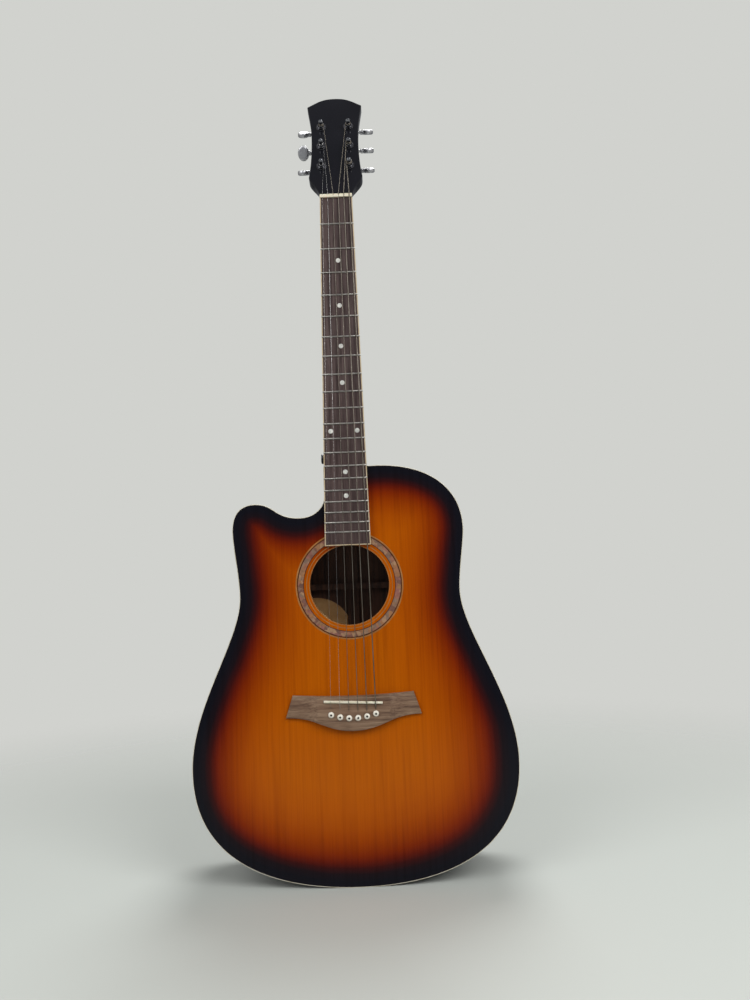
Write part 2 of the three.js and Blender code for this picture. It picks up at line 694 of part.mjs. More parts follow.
// Strap button on the heel, on a screw
const strapZ = jointZ + strapButtonRise;
const strapFootY = strapButtonDepth - strapBaseRadius;
const strapFootX = -neckHalfWidthAt(strapZ, strapFootY / neckShapeAt(strapZ).depth) - fit;
const strapScrewX = strapFootX + strapScrewLength;
const alongX = (geometry, x, y, z) => geometry.rotateZ(Math.PI / 2).translate(x, y, z);
const screwHoleLength = strapScrewLength + 2 * fit + overrun;
const screwHole = alongX(new THREE.CylinderGeometry(strapScrewRadius + fit, strapScrewRadius + fit,
  screwHoleLength, boreSides), strapScrewX + fit - screwHoleLength / 2, strapButtonDepth, strapZ);
const neckSolid = cut(join(neckBody, headSlab, tenon), boardRoom, rodChannel, screwHole, ...tunerHoles);
addPiece('neck', toGeometry(neckSolid), finishes.black);
const strapLength = strapButtonReach + strapFootX;
const strapButton = lathe([
  [0, -strapScrewLength], [strapScrewRadius, -strapScrewLength], [strapScrewRadius, 0], [strapBaseRadius, 0],
  [strapNeckRadius, strapLength / 3], [strapNeckRadius, strapLength - 2 * strapFlangeThickness],
  [strapFlangeRadius, strapLength - strapFlangeThickness],
  [strapFlangeRadius, strapLength - strapFlangeEdge],
  [strapFlangeRadius - strapFlangeEdge, strapLength], [0, strapLength],
]);
addPiece('strap_button', alongX(strapButton, strapFootX, strapButtonDepth, strapZ), finishes.chrome);

// Truss rod in its channel, and the adjusting nut that is reached through the soundhole
const rodY0 = rodFront + rodHeight / 2;
const rodLowZ = neckBlockZ + fit;
const rodNutTop = neckBlockZ - fit;
const rodThread = new THREE.CylinderGeometry(rodNutBore - fit, rodNutBore - fit, rodNutBoreDepth + 2 * fit,
  rodSides)
  .rotateX(Math.PI / 2)
  .translate(0, rodY0, rodLowZ - rodNutBoreDepth / 2 + fit);
addPiece('truss_rod', toGeometry(join(
  block(-rodWidth / 2, rodWidth / 2, rodFront, rodBack, rodLowZ, rodTopZ),
  rodThread,
)), finishes.steel);
const rodNutBody = new THREE.CylinderGeometry(rodNutRadius, rodNutRadius, rodNutLength, hexSides)
  .rotateX(Math.PI / 2)
  .translate(0, rodY0, rodNutTop - rodNutLength / 2);
const rodNutHole = new THREE.CylinderGeometry(rodNutBore, rodNutBore, rodNutLength + 2 * overrun, boreSides)
  .rotateX(Math.PI / 2)
  .translate(0, rodY0, rodNutTop - rodNutLength / 2);
addPiece('truss_rod_nut', toGeometry(cut(rodNutBody, rodNutHole)), finishes.steel);

// Fingerboard, with a slot for each fret and a groove under it for the strip that joins the frets
const fretPlaces = Array.from({ length: fretCount }, (_, i) => {
  const z = nutZ - fretDistance(i + 1);
  return { z, half: boardWidthAt(z) / 2 };
});
const spineFront = boardFace + tangDepth - fit;
const grooveLow = fretPlaces.at(-1).z - fretWidth;
const grooveHigh = fretPlaces[0].z + fretWidth;
const spineHalf = spineWidth / 2;
const fretSlots = fretPlaces.map(({ z, half }) => block(-half + boardEdge - fit, half - boardEdge + fit,
  boardFace - overrun, boardFace + tangDepth + fit, z - tangWidth / 2 - fit, z + tangWidth / 2 + fit));
const spineGroove = block(-spineHalf - fit, spineHalf + fit, spineFront - fit, overrun, grooveLow - fit,
  grooveHigh + fit);
const board = plate([
  new THREE.Vector2(-boardEndWidth / 2, boardEndZ), new THREE.Vector2(boardEndWidth / 2, boardEndZ),
  new THREE.Vector2(nutWidth / 2, nutZ), new THREE.Vector2(-nutWidth / 2, nutZ),
], boardFace, boardBack);
addPiece('fingerboard', toGeometry(cut(board, spineGroove, ...fretSlots)), finishes.board);

// Frets: crowned wire with a tang in its slot; one hidden strip under the board holds the set together
function wireAcross(points, length) {
  const shape = new THREE.Shape(points.map(([a, b]) => new THREE.Vector2(a, b)));
  return new THREE.ExtrudeGeometry(shape, upright(length))
    .translate(0, 0, -length / 2)
    .applyMatrix4(new THREE.Matrix4().set(0, 0, 1, 0, 0, -1, 0, 0, 1, 0, 0, 0, 0, 0, 0, 1));
}
const crown = Array.from({ length: crownSteps + 1 }, (_, i) => {
  const turn = i / crownSteps * Math.PI;
  return [fretWidth / 2 * Math.cos(turn), fretHeight * Math.sin(turn)];
});
const fretSolids = fretPlaces.flatMap(({ z, half }) => [
  wireAcross(crown, half * 2).translate(0, boardFace - fit, z),
  block(-half + boardEdge, half - boardEdge, boardFace - fit - fretHeight / 2, boardFace + tangDepth,
    z - tangWidth / 2, z + tangWidth / 2),
]);
const spine = block(-spineHalf, spineHalf, spineFront, boardBack, grooveLow, grooveHigh);
addPiece('frets', toGeometry(join(spine, ...fretSolids)), finishes.nickel);

// Nut, with a slot for each string
const nutFront = -nutHeight;
const stringUndersideAtNut = boardFace - stringOverNut;
const nutSlots = stringPlaces.map(({ nutX, radius }) => block(nutX - radius - fit, nutX + radius + fit,
  nutFront - overrun, stringUndersideAtNut + fit, nutZ - overrun, ledgeZ + overrun));
addPiece('nut', toGeometry(cut(
  block(-nutWidth / 2, nutWidth / 2, nutFront, boardBack, nutZ + fit, nutZ + fit + nutThickness),
  ...nutSlots,
)), finishes.bone);

// Bridge: belly outline, thick in the middle with scooped wings, cut for the saddle, pins and strings
function bridgeOutline() {
  const s = bridgeShares;
  const topZ = atDrop(bridgeTopDrop);
  const tipZ = atDrop(bridgeTipDrop);
  const bellyZ = atDrop(bridgeBellyDrop);
  const shape = new THREE.Shape();
  shape.moveTo(-bridgeTopHalf, topZ);
  shape.quadraticCurveTo(0, topZ - 2 * bridgeTopDip, bridgeTopHalf, topZ);
  shape.quadraticCurveTo(s.flare * bridgeTopHalf, (topZ + tipZ) / 2, bridgeTipHalf, tipZ);
  shape.bezierCurveTo(s.wing * bridgeTipHalf, tipZ, s.belly * bridgeTipHalf, bellyZ, 0, bellyZ);
  shape.bezierCurveTo(-s.belly * bridgeTipHalf, bellyZ, -s.wing * bridgeTipHalf, tipZ, -bridgeTipHalf, tipZ);
  shape.quadraticCurveTo(-s.flare * bridgeTopHalf, (topZ + tipZ) / 2, -bridgeTopHalf, topZ);
  return shape.getPoints(bridgeSteps).slice(0, -1);
}
function wingProfile() {
  const shape = new THREE.Shape();
  const half = bridgePlateau / 2;
  const scoop = half + scoopShare * (bridgeTipHalf - half);
  shape.moveTo(-bridgeTipHalf, 0);
  shape.lineTo(-bridgeTipHalf, bridgeWingHeight);
  shape.quadraticCurveTo(-scoop, bridgeWingHeight, -half, bridgeHeight);
  shape.lineTo(half, bridgeHeight);
  shape.quadraticCurveTo(scoop, bridgeWingHeight, bridgeTipHalf, bridgeWingHeight);
  shape.lineTo(bridgeTipHalf, 0);
  const depth = bridgeBellyDrop - bridgeTopDrop + 2 * overrun;
  return new THREE.ExtrudeGeometry(new THREE.Shape(shape.getPoints(bridgeSteps)), upright(depth))
    .rotateX(Math.PI)
    .translate(0, 0, atDrop(bridgeTopDrop) + overrun);
}
const saddleZ = atDrop(saddleDrop);
const saddleTurn = Math.asin(saddleSlant / (saddleLength / 2));
const saddleSlot = block(-saddleLength / 2 - fit, saddleLength / 2 + fit, -bridgeHeight - overrun,
  saddleSlotDepth - bridgeHeight, -saddleThickness / 2 - fit, saddleThickness / 2 + fit)
  .rotateY(saddleTurn)
  .translate(0, 0, saddleZ);
const bridgePinHoles = stringPlaces.map(({ pinX, pinZ }) => rodY(pinHoleRadius, pinX, pinZ,
  -bridgeHeight - overrun, overrun, boreSides));
const ramps = stringPlaces.map(({ pinX, pinZ, radius }) => block(pinX - radius - fit, pinX + radius + fit,
  -bridgeHeight - overrun, rampDepth + radius + 2 * fit - bridgeHeight, pinZ, pinZ + rampLength));
const bridgeBlank = common(plate(bridgeOutline(), -bridgeHeight - overrun, -fit), wingProfile());
addPiece('bridge', toGeometry(cut(bridgeBlank, saddleSlot, ...bridgePinHoles, ...ramps)), finishes.bridge);
addPiece('saddle', wireAcross([
  [saddleThickness / 2, bridgeHeight - saddleSlotDepth + fit], [saddleThickness / 2, saddleTop - crownDepth],
  [crownFlat / 2, saddleTop], [-crownFlat / 2, saddleTop], [-saddleThickness / 2, saddleTop - crownDepth],
  [-saddleThickness / 2, bridgeHeight - saddleSlotDepth + fit],
], saddleLength).rotateY(saddleTurn).translate(0, 0, saddleZ), finishes.bone);

// Bridge pins, slotted towards the saddle
const pinSeat = bridgeHeight + fit;
const pinFoot = pinSeat - pinLength;
const pinProfile = [
  [0, pinFoot], [pinTipRadius, pinFoot], [pinRadius, pinSeat], [pinHeadRadius, pinSeat],
  ...Array.from({ length: pinHeadSteps }, (_, i) => {
    const turn = (i + 1) / (pinHeadSteps + 1) * Math.PI / 2;
    return [pinHeadRadius * Math.cos(turn), pinSeat + pinHeadHeight * Math.sin(turn)];
  }),
  [0, pinSeat + pinHeadHeight],
];
stringPlaces.forEach(({ pinX, pinZ }, i) => {
  const blank = lathe(pinProfile, boreSides).rotateX(Math.PI).translate(pinX, 0, pinZ);
  const slot = block(pinX - pinSlotWidth / 2, pinX + pinSlotWidth / 2, -pinSeat, overrun - pinFoot,
    pinZ + pinSlotFloor, pinZ + pinHoleRadius);
  addPiece(`bridge_pin_${i + 1}`, toGeometry(cut(blank, slot)), finishes.bone);
});

// Tuners: threaded bushing and washer, sealed gear case, string post with its gear, worm with its button
const alongN = (geometry, x, rise, n) => geometry.rotateX(Math.PI / 2).translate(x, rise, n);
const caseTop = -headThickness - fit;
const caseFloor = caseTop - housingDepth;
const gearMiddle = (caseTop + caseFloor) / 2;
const postFoot = caseFloor + housingWall + fit;
const caseLow = -gearRadius - housingWall - 2 * fit;
const caseHigh = wormOffset + wormRadius + housingWall + 2 * fit;
const hexTop = fit + washerThickness + hexHeight;
const wrapRadiusOf = (radius) => postRadius - postWaist + fit + radius;

function bushingSolid() {
  const sleeve = lathe([
    [0, -headThickness * sleeveShare], [bushingRadius, -headThickness * sleeveShare], [bushingRadius, fit],
    [washerRadius, fit], [washerRadius, fit + washerThickness], [0, fit + washerThickness],
  ], boreSides);
  const hexCorner = hexAcrossFlats / 2 / Math.cos(Math.PI / hexSides);
  const hex = new THREE.CylinderGeometry(hexCorner, hexCorner, hexHeight + washerThickness, hexSides)
    .translate(0, hexTop - (hexHeight + washerThickness) / 2, 0);
  const bore = new THREE.CylinderGeometry(postRadius + fit, postRadius + fit, headThickness * 2, boreSides);
  return cut(join(sleeve, hex), bore);
}
function caseSolid() {
  const half = housingWidth / 2;
  const shape = new THREE.Shape();
  shape.moveTo(-half + housingCorner, caseLow);
  shape.lineTo(half - housingCorner, caseLow);
  shape.quadraticCurveTo(half, caseLow, half, caseLow + housingCorner);
  shape.lineTo(half, caseHigh - housingCorner);
  shape.quadraticCurveTo(half, caseHigh, half - housingCorner, caseHigh);
  shape.lineTo(-half + housingCorner, caseHigh);
  shape.quadraticCurveTo(-half, caseHigh, -half, caseHigh - housingCorner);
  shape.lineTo(-half, caseLow + housingCorner);
  shape.quadraticCurveTo(-half, caseLow, -half + housingCorner, caseLow);
  const outer = new THREE.ExtrudeGeometry(new THREE.Shape(shape.getPoints(cornerSteps).slice(0, -1)),
    upright(housingDepth)).translate(0, 0, caseFloor);
  const pocket = block(housingWall - half, half - housingWall, caseLow + housingWall, caseHigh - housingWall,
    caseFloor + housingWall, caseTop - housingWall);
  const postHole = alongN(new THREE.CylinderGeometry(postRadius + fit, postRadius + fit, housingDepth,
    boreSides), 0, 0, caseTop);
  const shaftHole = alongX(new THREE.CylinderGeometry(shaftRadius + fit, shaftRadius + fit,
    housingWidth + 2 * overrun, boreSides), 0, wormOffset, gearMiddle);
  return cut(outer, pocket, postHole, shaftHole);
}
function postSolid(holeHeight, holeTurn) {
  const waistFrom = hexTop + fit;
  const stem = lathe([
    [0, postFoot], [postRadius, postFoot], [postRadius, waistFrom],
    [postRadius - postWaist, waistFrom + postWaist], [postRadius - postWaist, holeHeight + postHoleRadius],
    [postRadius, holeHeight + postHoleRadius + postWaist], [postRadius, postRise - postWaist],
    [postRadius - postWaist, postRise], [0, postRise],
  ], boreSides).rotateX(Math.PI / 2);
  const teeth = Array.from({ length: gearTeeth * 2 }, (_, i) => {
    const turn = i / gearTeeth * Math.PI;
    const radius = i % 2 ? gearRadius : gearRootRadius;
    return new THREE.Vector2(radius * Math.cos(turn), radius * Math.sin(turn));
  });
  const gear = new THREE.ExtrudeGeometry(new THREE.Shape(teeth), upright(gearWidth))
    .translate(0, 0, gearMiddle - gearWidth / 2);
  const hole = new THREE.CylinderGeometry(postHoleRadius, postHoleRadius, 2 * postRadius + overrun,
    stringSides)
    .rotateZ(Math.PI / 2)
    .rotateZ(holeTurn)
    .translate(0, 0, holeHeight);
  return cut(join(stem, gear), hole);
}
function buttonSolid(side, turn) {
  const half = wormLength / 2;
  const pitch = wormLength / wormThreads;
  const threads = Array.from({ length: wormThreads }, (_, i) => {
    const at = -half + i * pitch;
    return [[wormCoreRadius, at], [wormRadius, at + pitch / 3], [wormRadius, at + pitch * 2 / 3]];
  }).flat();
  const shaft = lathe([
    [0, -housingWidth / 2], [shaftRadius, -housingWidth / 2], [shaftRadius, -half],
    ...threads, [wormCoreRadius, half], [shaftRadius, half], [shaftRadius, buttonStart - collarLength],
    [collarRadius, buttonStart - collarLength], [collarRadius, buttonStart + overrun],
    [0, buttonStart + overrun],
  ], rodSides).rotateZ(-Math.PI / 2);
  const oval = new THREE.Shape();
  oval.absellipse(0, 0, buttonLength / 2 - buttonEdge, buttonHeight / 2 - buttonEdge, 0, Math.PI * 2);
  const core = buttonThickness - 2 * buttonEdge;
  const grip = new THREE.ExtrudeGeometry(oval, {
    depth: core,
    steps: 1,
    curveSegments: ovalSteps,
    bevelThickness: buttonEdge,
    bevelSize: buttonEdge,
    bevelSegments: 1,
  }).translate(buttonStart + buttonLength / 2, 0, -core / 2);
  const facing = side > 0 ? new THREE.Matrix4() : new THREE.Matrix4().makeRotationZ(Math.PI);
  return toGeometry(join(shaft, grip).transform(facing.elements))
    .rotateX(turn)
    .translate(0, wormOffset, gearMiddle);
}

// Strings: ball, up through the pin hole, over the saddle and nut, then round the post to its hole
const fromHead = (x, rise, n) => headstock.localToWorld(new THREE.Vector3(x, rise, n));
function stringRoute(tuner, turns) {
  const { radius, diameter, pinX, pinZ, nutX, side, x, rise } = tuner;
  const ballZ = pinZ + pinRadius + ballRadius + fit;
  const ballY = plateBack + ballDrop;
  const slotZ = pinZ + stringSlotOffset;
  const points = [
    [pinX, ballY + ballLength, ballZ, ballRadius],
    [pinX, ballY, ballZ, ballRadius],
    [pinX, ballY - ballRadius / 2, ballZ - fit, radius],
    [pinX, plateBack + radius + fit, slotZ, radius],
    [pinX, rampDepth - bridgeHeight, slotZ, radius],
    [pinX, -saddleTop - fit - radius, tuner.saddleZ, radius],
    [nutX, stringUndersideAtNut - radius, ledgeZ, radius],
  ].map(([px, py, pz, r]) => ({ point: new THREE.Vector3(px, py, pz), radius: r }));
  const wrap = wrapRadiusOf(radius);
  const pitch = diameter + wrapGap;
  const low = hexTop + 2 * fit + radius;
  const start = headstock.worldToLocal(points.at(-1).point.clone());
  const toNut = Math.atan2(start.y - rise, start.x - x);
  const distance = Math.hypot(start.y - rise, start.x - x);
  const first = toNut - side * Math.acos(wrap / distance);
  const steps = Math.round(turns * loopSteps);
  const coil = Array.from({ length: steps + 1 }, (_, i) => {
    const turn = first - side * i / loopSteps * Math.PI * 2;
    const height = low + pitch * i / loopSteps;
    return new THREE.Vector3(x + wrap * Math.cos(turn), rise + wrap * Math.sin(turn), height);
  });
  let leastGap = Infinity;
  coil.forEach((a, i) => coil.slice(i + loopSteps / 2).forEach((b) => {
    leastGap = Math.min(leastGap, a.distanceTo(b) - diameter);
  }));
  coil.forEach((place) => points.push({ point: fromHead(place.x, place.y, place.z), radius }));
  return {
    points, leastGap, holeHeight: low + pitch * turns, holeTurn: first - side * turns * Math.PI * 2,
  };
}

tuners.forEach((tuner, i) => {
  const number = i + 1;
  const route = stringRoute(tuner, wrapTurns[i]);
  console.log(`string ${number}: least gap between its turns ${route.leastGap.toFixed(2)} mm`);
  const wire = tube(route.points.map(({ point }) => point), route.points.map(({ radius }) => radius));
  addPiece(`string_${number}`, wire, i < plainStrings ? finishes.steel : finishes.bronze);
  const place = (name, geometry, material) => addPiece(name, geometry, material, headstock)
    .position.set(tuner.x, tuner.rise, 0);
  place(`tuner_bushing_${number}`, toGeometry(bushingSolid()).rotateX(Math.PI / 2), finishes.chrome);
  place(`tuner_case_${number}`, toGeometry(caseSolid()), finishes.chrome);
  place(`tuner_post_${number}`, toGeometry(postSolid(route.holeHeight, route.holeTurn)), finishes.chrome);
  place(`tuner_button_${number}`, buttonSolid(tuner.side, buttonTurns[i]), finishes.chrome);
});

// The frame's origin: under the middle of everything from the strings' front to the back plate
const frontReach = saddleTop + fit + Math.max(...stringDiameters);
guitar.position.y = (frontReach - bodyDepthAtTail) / 2;

export default guitar;
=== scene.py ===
import math

import bmesh
import bpy
from mathutils import Matrix, Vector, geometry, kdtree


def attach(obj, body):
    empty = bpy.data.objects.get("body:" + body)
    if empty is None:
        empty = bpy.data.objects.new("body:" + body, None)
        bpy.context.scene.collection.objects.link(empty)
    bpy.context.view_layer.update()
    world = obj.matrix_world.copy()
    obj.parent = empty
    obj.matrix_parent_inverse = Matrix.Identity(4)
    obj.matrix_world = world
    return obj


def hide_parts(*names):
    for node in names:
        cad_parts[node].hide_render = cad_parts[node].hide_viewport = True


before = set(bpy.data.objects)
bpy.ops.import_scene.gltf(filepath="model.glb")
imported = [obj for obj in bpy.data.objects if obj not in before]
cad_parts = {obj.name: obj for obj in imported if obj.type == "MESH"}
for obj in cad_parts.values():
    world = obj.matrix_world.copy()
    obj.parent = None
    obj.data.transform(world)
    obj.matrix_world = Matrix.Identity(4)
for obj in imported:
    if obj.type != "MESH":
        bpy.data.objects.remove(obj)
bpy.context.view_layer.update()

scene = bpy.context.scene
scene.view_settings.view_transform = "Standard"

# Camera: a wide phone lens about a metre in front of the guitar, lower than the nut and looking
# slightly up. Its place and turn were worked out from the frets, the bridge and the body's outline.
camera_lens = bpy.data.cameras.new("camera")
camera_lens.sensor_width = 36
camera_lens.lens = 26.98
camera_lens.clip_start = 0.02
camera = bpy.data.objects.new("camera", camera_lens)
camera.location = (0.041994, -1.003007, 0.366992)
camera.rotation_euler = [math.radians(turn) for turn in (96.1930, 2.2042, 0.5831)]
scene.collection.objects.link(camera)
scene.camera = camera


# Room: a pale floor that fades into a pale studio, and soft lamps in front of the guitar and behind it.
# Polished black sees a dimmer studio in front and behind, as in a room that is darker away from the wall.
def tone(red, green, blue):
    """A colour read as 0 to 255, as the shaders take it."""
    def plain(value):
        share = value / 255
        return share / 12.92 if share <= 0.04045 else ((share + 0.055) / 1.055) ** 2.4
    return (plain(red), plain(green), plain(blue), 1)


def node(tree, kind, sockets=(), **settings):
    """A shader node, with sockets set to a value or joined to another node's output."""
    made = tree.nodes.new(kind)
    for name, value in settings.items():
        setattr(made, name, value)
    for socket, source in dict(sockets).items():
        if isinstance(source, bpy.types.NodeSocket):
            tree.links.new(source, made.inputs[socket])
        else:
            made.inputs[socket].default_value = source
    return made


def mixed(tree, factor, first, second, blend="MIX"):
    return node(tree, "ShaderNodeMix", {"Factor": factor, "A": first, "B": second},
                data_type="RGBA", blend_type=blend).outputs["Result"]


def between(tree, value, start, end, low=0.0, high=1.0, kind="LINEAR"):
    """Runs from low to high while the value runs from start to end."""
    return node(tree, "ShaderNodeMapRange", {
        "Value": value, "From Min": start, "From Max": end, "To Min": low, "To Max": high,
    }, interpolation_type=kind).outputs["Result"]


studio = bpy.data.worlds.new("studio")
studio.use_nodes = True
scene.world = studio
tree = studio.node_tree
ray = node(tree, "ShaderNodeLightPath")
direction = node(tree, "ShaderNodeTexCoord")
parts = node(tree, "ShaderNodeSeparateXYZ", {0: direction.outputs["Generated"]})
away = node(tree, "ShaderNodeMath", {0: parts.outputs["Y"]}, operation="ABSOLUTE")
fade = between(tree, away.outputs[0], 0.12, 0.5, kind="SMOOTHSTEP")
mirrored = mixed(tree, fade, tone(176, 176, 172), tone(118, 120, 124))
around = mixed(tree, ray.outputs["Is Glossy Ray"], tone(150, 150, 148), mirrored)
seen = node(tree, "ShaderNodeMath", {0: ray.outputs["Is Camera Ray"], 1: ray.outputs["Is Transmission Ray"]},
            operation="MAXIMUM")
shown = mixed(tree, seen.outputs[0], around, tone(209, 210, 206))
tree.links.new(shown, tree.nodes["Background"].inputs["Color"])

lamp_target = Vector((0, 0, 0.45))
for lamp_name, lamp_place, lamp_size, level in (
    ("lamp_left", (-1.7, -1.9, 2.0), 2.2, 0.3),
    ("lamp_right", (1.3, -1.6, 1.7), 1.6, 0.46),
    ("lamp_back", (0.3, 1.2, 3.0), 1.6, 0.28),
):
    lamp = bpy.data.lights.new(lamp_name, "AREA")
    lamp.shape = "DISK"
    lamp.size = lamp_size
    reach = lamp_target - Vector(lamp_place)
    facing = abs(reach.normalized().y)
    lamp.energy = level * math.pi ** 2 * reach.length_squared / facing
    holder = bpy.data.objects.new(lamp_name, lamp)
    holder.location = lamp_place
    holder.rotation_euler = reach.to_track_quat("-Z", "Y").to_euler()
    scene.collection.objects.link(holder)

work = bmesh.new()
bmesh.ops.create_circle(work, cap_ends=True, segments=128, radius=1.8)
floor_mesh = bpy.data.meshes.new("floor")
work.to_mesh(floor_mesh)
work.free()
floor = bpy.data.objects.new("floor", floor_mesh)
scene.collection.objects.link(floor)
floor_paint = bpy.data.materials.new("floor_paint")
floor_paint.use_nodes = True
tree = floor_paint.node_tree
floor_shader = tree.nodes["Principled BSDF"]
floor_shader.inputs["Base Color"].default_value = tone(186, 190, 185)
floor_shader.inputs["Roughness"].default_value = 0.7
floor_spot = node(tree, "ShaderNodeTexCoord")
from_middle = node(tree, "ShaderNodeVectorMath", {0: floor_spot.outputs["Object"]}, operation="LENGTH")
fade = between(tree, from_middle.outputs["Value"], 0.35, 1.5, kind="SMOOTHSTEP")
clear = node(tree, "ShaderNodeBsdfTransparent")
blend_out = node(tree, "ShaderNodeMixShader", {0: fade, 1: floor_shader.outputs[0], 2: clear.outputs[0]})
tree.links.new(blend_out.outputs[0], tree.nodes["Material Output"].inputs["Surface"])
floor_mesh.materials.append(floor_paint)

# Soundboard: a thin spruce plate with a round hole, sprayed from black at the rim through dark red to
# amber in the middle and lacquered. It is glued on the sides and carries the bridge.
# Lengths are in millimetres from here on: X across, Y back from the top's face, Z up from the tail.
half_depth = 52.775
to_metres = Matrix.Scale(0.001, 4) @ Matrix.Translation((0, -half_depth, 0))
neck_joint = 515
upper_half, waist_half, lower_half = 147, 139, 201.5
upper_level, waist_level, lower_level, horn_level = 431, 353, 144, 437
horn_crest, cutaway_floor, cutaway_wall = (-118, 470.5), (-60, 451), (-28.6, 477)
top_thickness = 3
binding_width = 1.5
sound_hole = Vector((0, 0, 364))
sound_hole_radius = 50


def straight(start, end):
    a, b = Vector(start), Vector(end)
    return start, a.lerp(b, 1 / 3), a.lerp(b, 2 / 3), end


body_curves = [
    straight((0, neck_joint), (40, neck_joint)),
    ((40, neck_joint), (104.2, neck_joint), (upper_half, 483.9), (upper_half, upper_level)),
    ((upper_half, upper_level), (upper_half, 413.1), (waist_half, 377.2), (waist_half, waist_level)),
    ((waist_half, waist_level), (waist_half, 299.7), (lower_half, 223), (lower_half, lower_level)),
    ((lower_half, lower_level), (lower_half, 36), (106.8, 0), (0, 0)),
    ((0, 0), (-106.8, 0), (-lower_half, 36), (-lower_half, lower_level)),
    ((-lower_half, lower_level), (-lower_half, 223), (-waist_half, 299.7), (-waist_half, waist_level)),
    ((-waist_half, waist_level), (-waist_half, 379), (-upper_half, 417.7), (-upper_half, horn_level)),
    ((-upper_half, horn_level), (-upper_half, 458.1), (-137.14, 470.5), horn_crest),
    (horn_crest, (-91.9, 470.5), (-93.06, 451), cutaway_floor),
    (cutaway_floor, (-42.73, 451), (-28.6, 462.7), cutaway_wall),
    straight(cutaway_wall, (-28.6, neck_joint)),
    straight((-28.6, neck_joint), (0, neck_joint)),
]


def drawn(curves, spacing):
    """Points along curves that follow one another, each without its last point. A curve is taken as a
    tenth longer than its chord."""
    points = []
    for curve in curves:
        knots = [Vector((x, 0, z)) for x, z in curve]
        count = max(round((knots[3] - knots[0]).length * 1.1 / spacing), 2)
        points += geometry.interpolate_bezier(*knots, count + 1)[:-1]
    return points


def inset(points, distance):
    """A closed outline drawn inwards."""
    moved = []
    for i, point in enumerate(points):
        a = (point - points[i - 1]).normalized()
        b = (points[(i + 1) % len(points)] - point).normalized()
        side_a, side_b = Vector((a.z, 0, -a.x)), Vector((b.z, 0, -b.x))
        moved.append(point + (side_a + side_b) * (distance / (1 + side_a.dot(side_b))))
    return moved


def at_depth(points, depth):
    """The points moved to a depth, which may change with the height."""
    return [Vector((p.x, depth(p.z) if callable(depth) else depth, p.z)) for p in points]


def loft(work, rows, closed=True, finishes=None, capped=False):
    """Draws the first row of points and carries it on through the others, with faces between them and,
    if it is capped, over both ends."""
    ring = [work.verts.new(point) for point in rows[0]]
    count = len(ring)
    pairs = [(i, (i + 1) % count) for i in range(count if closed else count - 1)]
    edges = [work.edges.new((ring[i], ring[k])) for i, k in pairs]
    rings = [ring]
    for level, row in enumerate(rows[1:]):
        made = bmesh.ops.extrude_edge_only(work, edges=edges)["geom"]
        fresh = {part for part in made if isinstance(part, bmesh.types.BMVert)}
        ring = [next(edge.other_vert(vert) for edge in vert.link_edges if edge.other_vert(vert) in fresh)
                for vert in ring]
        for vert, point in zip(ring, row):
            vert.co = point
        if finishes:
            for part in made:
                if isinstance(part, bmesh.types.BMFace):
                    part.material_index = finishes[level]
        edges = [work.edges.get((ring[i], ring[k])) for i, k in pairs]
        rings.append(ring)
    if capped:
        work.faces.new(rings[0])
        work.faces.new(rings[-1])
    return rings


def make_piece(work, name, finishes, body, stands_for=(), place=to_metres, crease=35):
    """Turns finished mesh work into a piece in its place on the guitar."""
    bmesh.ops.remove_doubles(work, verts=work.verts[:], dist=0.002)
    bmesh.ops.transform(work, matrix=place, verts=work.verts[:])
    bmesh.ops.recalc_face_normals(work, faces=work.faces[:])
    mesh = bpy.data.meshes.new(name)
    work.to_mesh(mesh)
    work.free()
    mesh.shade_smooth()
    mesh.set_sharp_from_angle(angle=math.radians(crease))
    for finish in finishes:
        mesh.materials.append(finish)
    piece = bpy.data.objects.new(name, mesh)
    scene.collection.objects.link(piece)
    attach(piece, body)
    if stands_for:
        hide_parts(*stands_for)
    return piece


def new_finish(name, base, rough, **settings):
    """A finish with one shader; the settings are its sockets, with _ for a space."""
    finish = bpy.data.materials.new(name)
    finish.use_nodes = True
    shader = finish.node_tree.nodes["Principled BSDF"]
    shader.inputs["Base Color"].default_value = base
    shader.inputs["Roughness"].default_value = rough
    for socket, value in settings.items():
        shader.inputs[socket.replace("_", " ")].default_value = value
    return finish


def speckle(finish, scale, stretch=(1, 1, 1), detail=4.0):
    """Cloudy or streaky spots fixed to the piece; a small stretch draws them out along that axis."""
    tree = finish.node_tree
    spot = node(tree, "ShaderNodeTexCoord")
    drawn_out = node(tree, "ShaderNodeMapping", {"Vector": spot.outputs["Object"], "Scale": stretch})
    cloud = node(tree, "ShaderNodeTexNoise", {
        "Vector": drawn_out.outputs[0], "Scale": scale, "Detail": detail})
    return cloud.outputs["Fac"]


def ramp(finish, factor, stops):
    """Colours along a factor, from (position, colour) pairs."""
    scale = node(finish.node_tree, "ShaderNodeValToRGB", {0: factor})
    points = scale.color_ramp.elements
    while len(points) < len(stops):
        points.new(0.5)
    for point, (position, colour) in zip(points, stops):
        point.position = position
        point.color = colour
    return scale.outputs["Color"]


def multiplied(finish, first, second):
    return mixed(finish.node_tree, 1.0, first, second, "MULTIPLY")


def feed(finish, socket, output):
    finish.node_tree.links.new(output, finish.node_tree.nodes["Principled BSDF"].inputs[socket])


def coloured(finish, output):
    feed(finish, "Base Color", output)


def mottled(finish, scale, dark, light, steps=(0.3, 0.7), **streaks):
    """Colours a finish between two tones, in cloudy spots or streaks."""
    coloured(finish, ramp(finish, speckle(finish, scale, **streaks), [
        (step, tone(*colour)) for step, colour in zip(steps, (dark, light))]))


def roughened(finish, factor, low, high):
    feed(finish, "Roughness", between(finish.node_tree, factor, 0.3, 0.7, low, high))


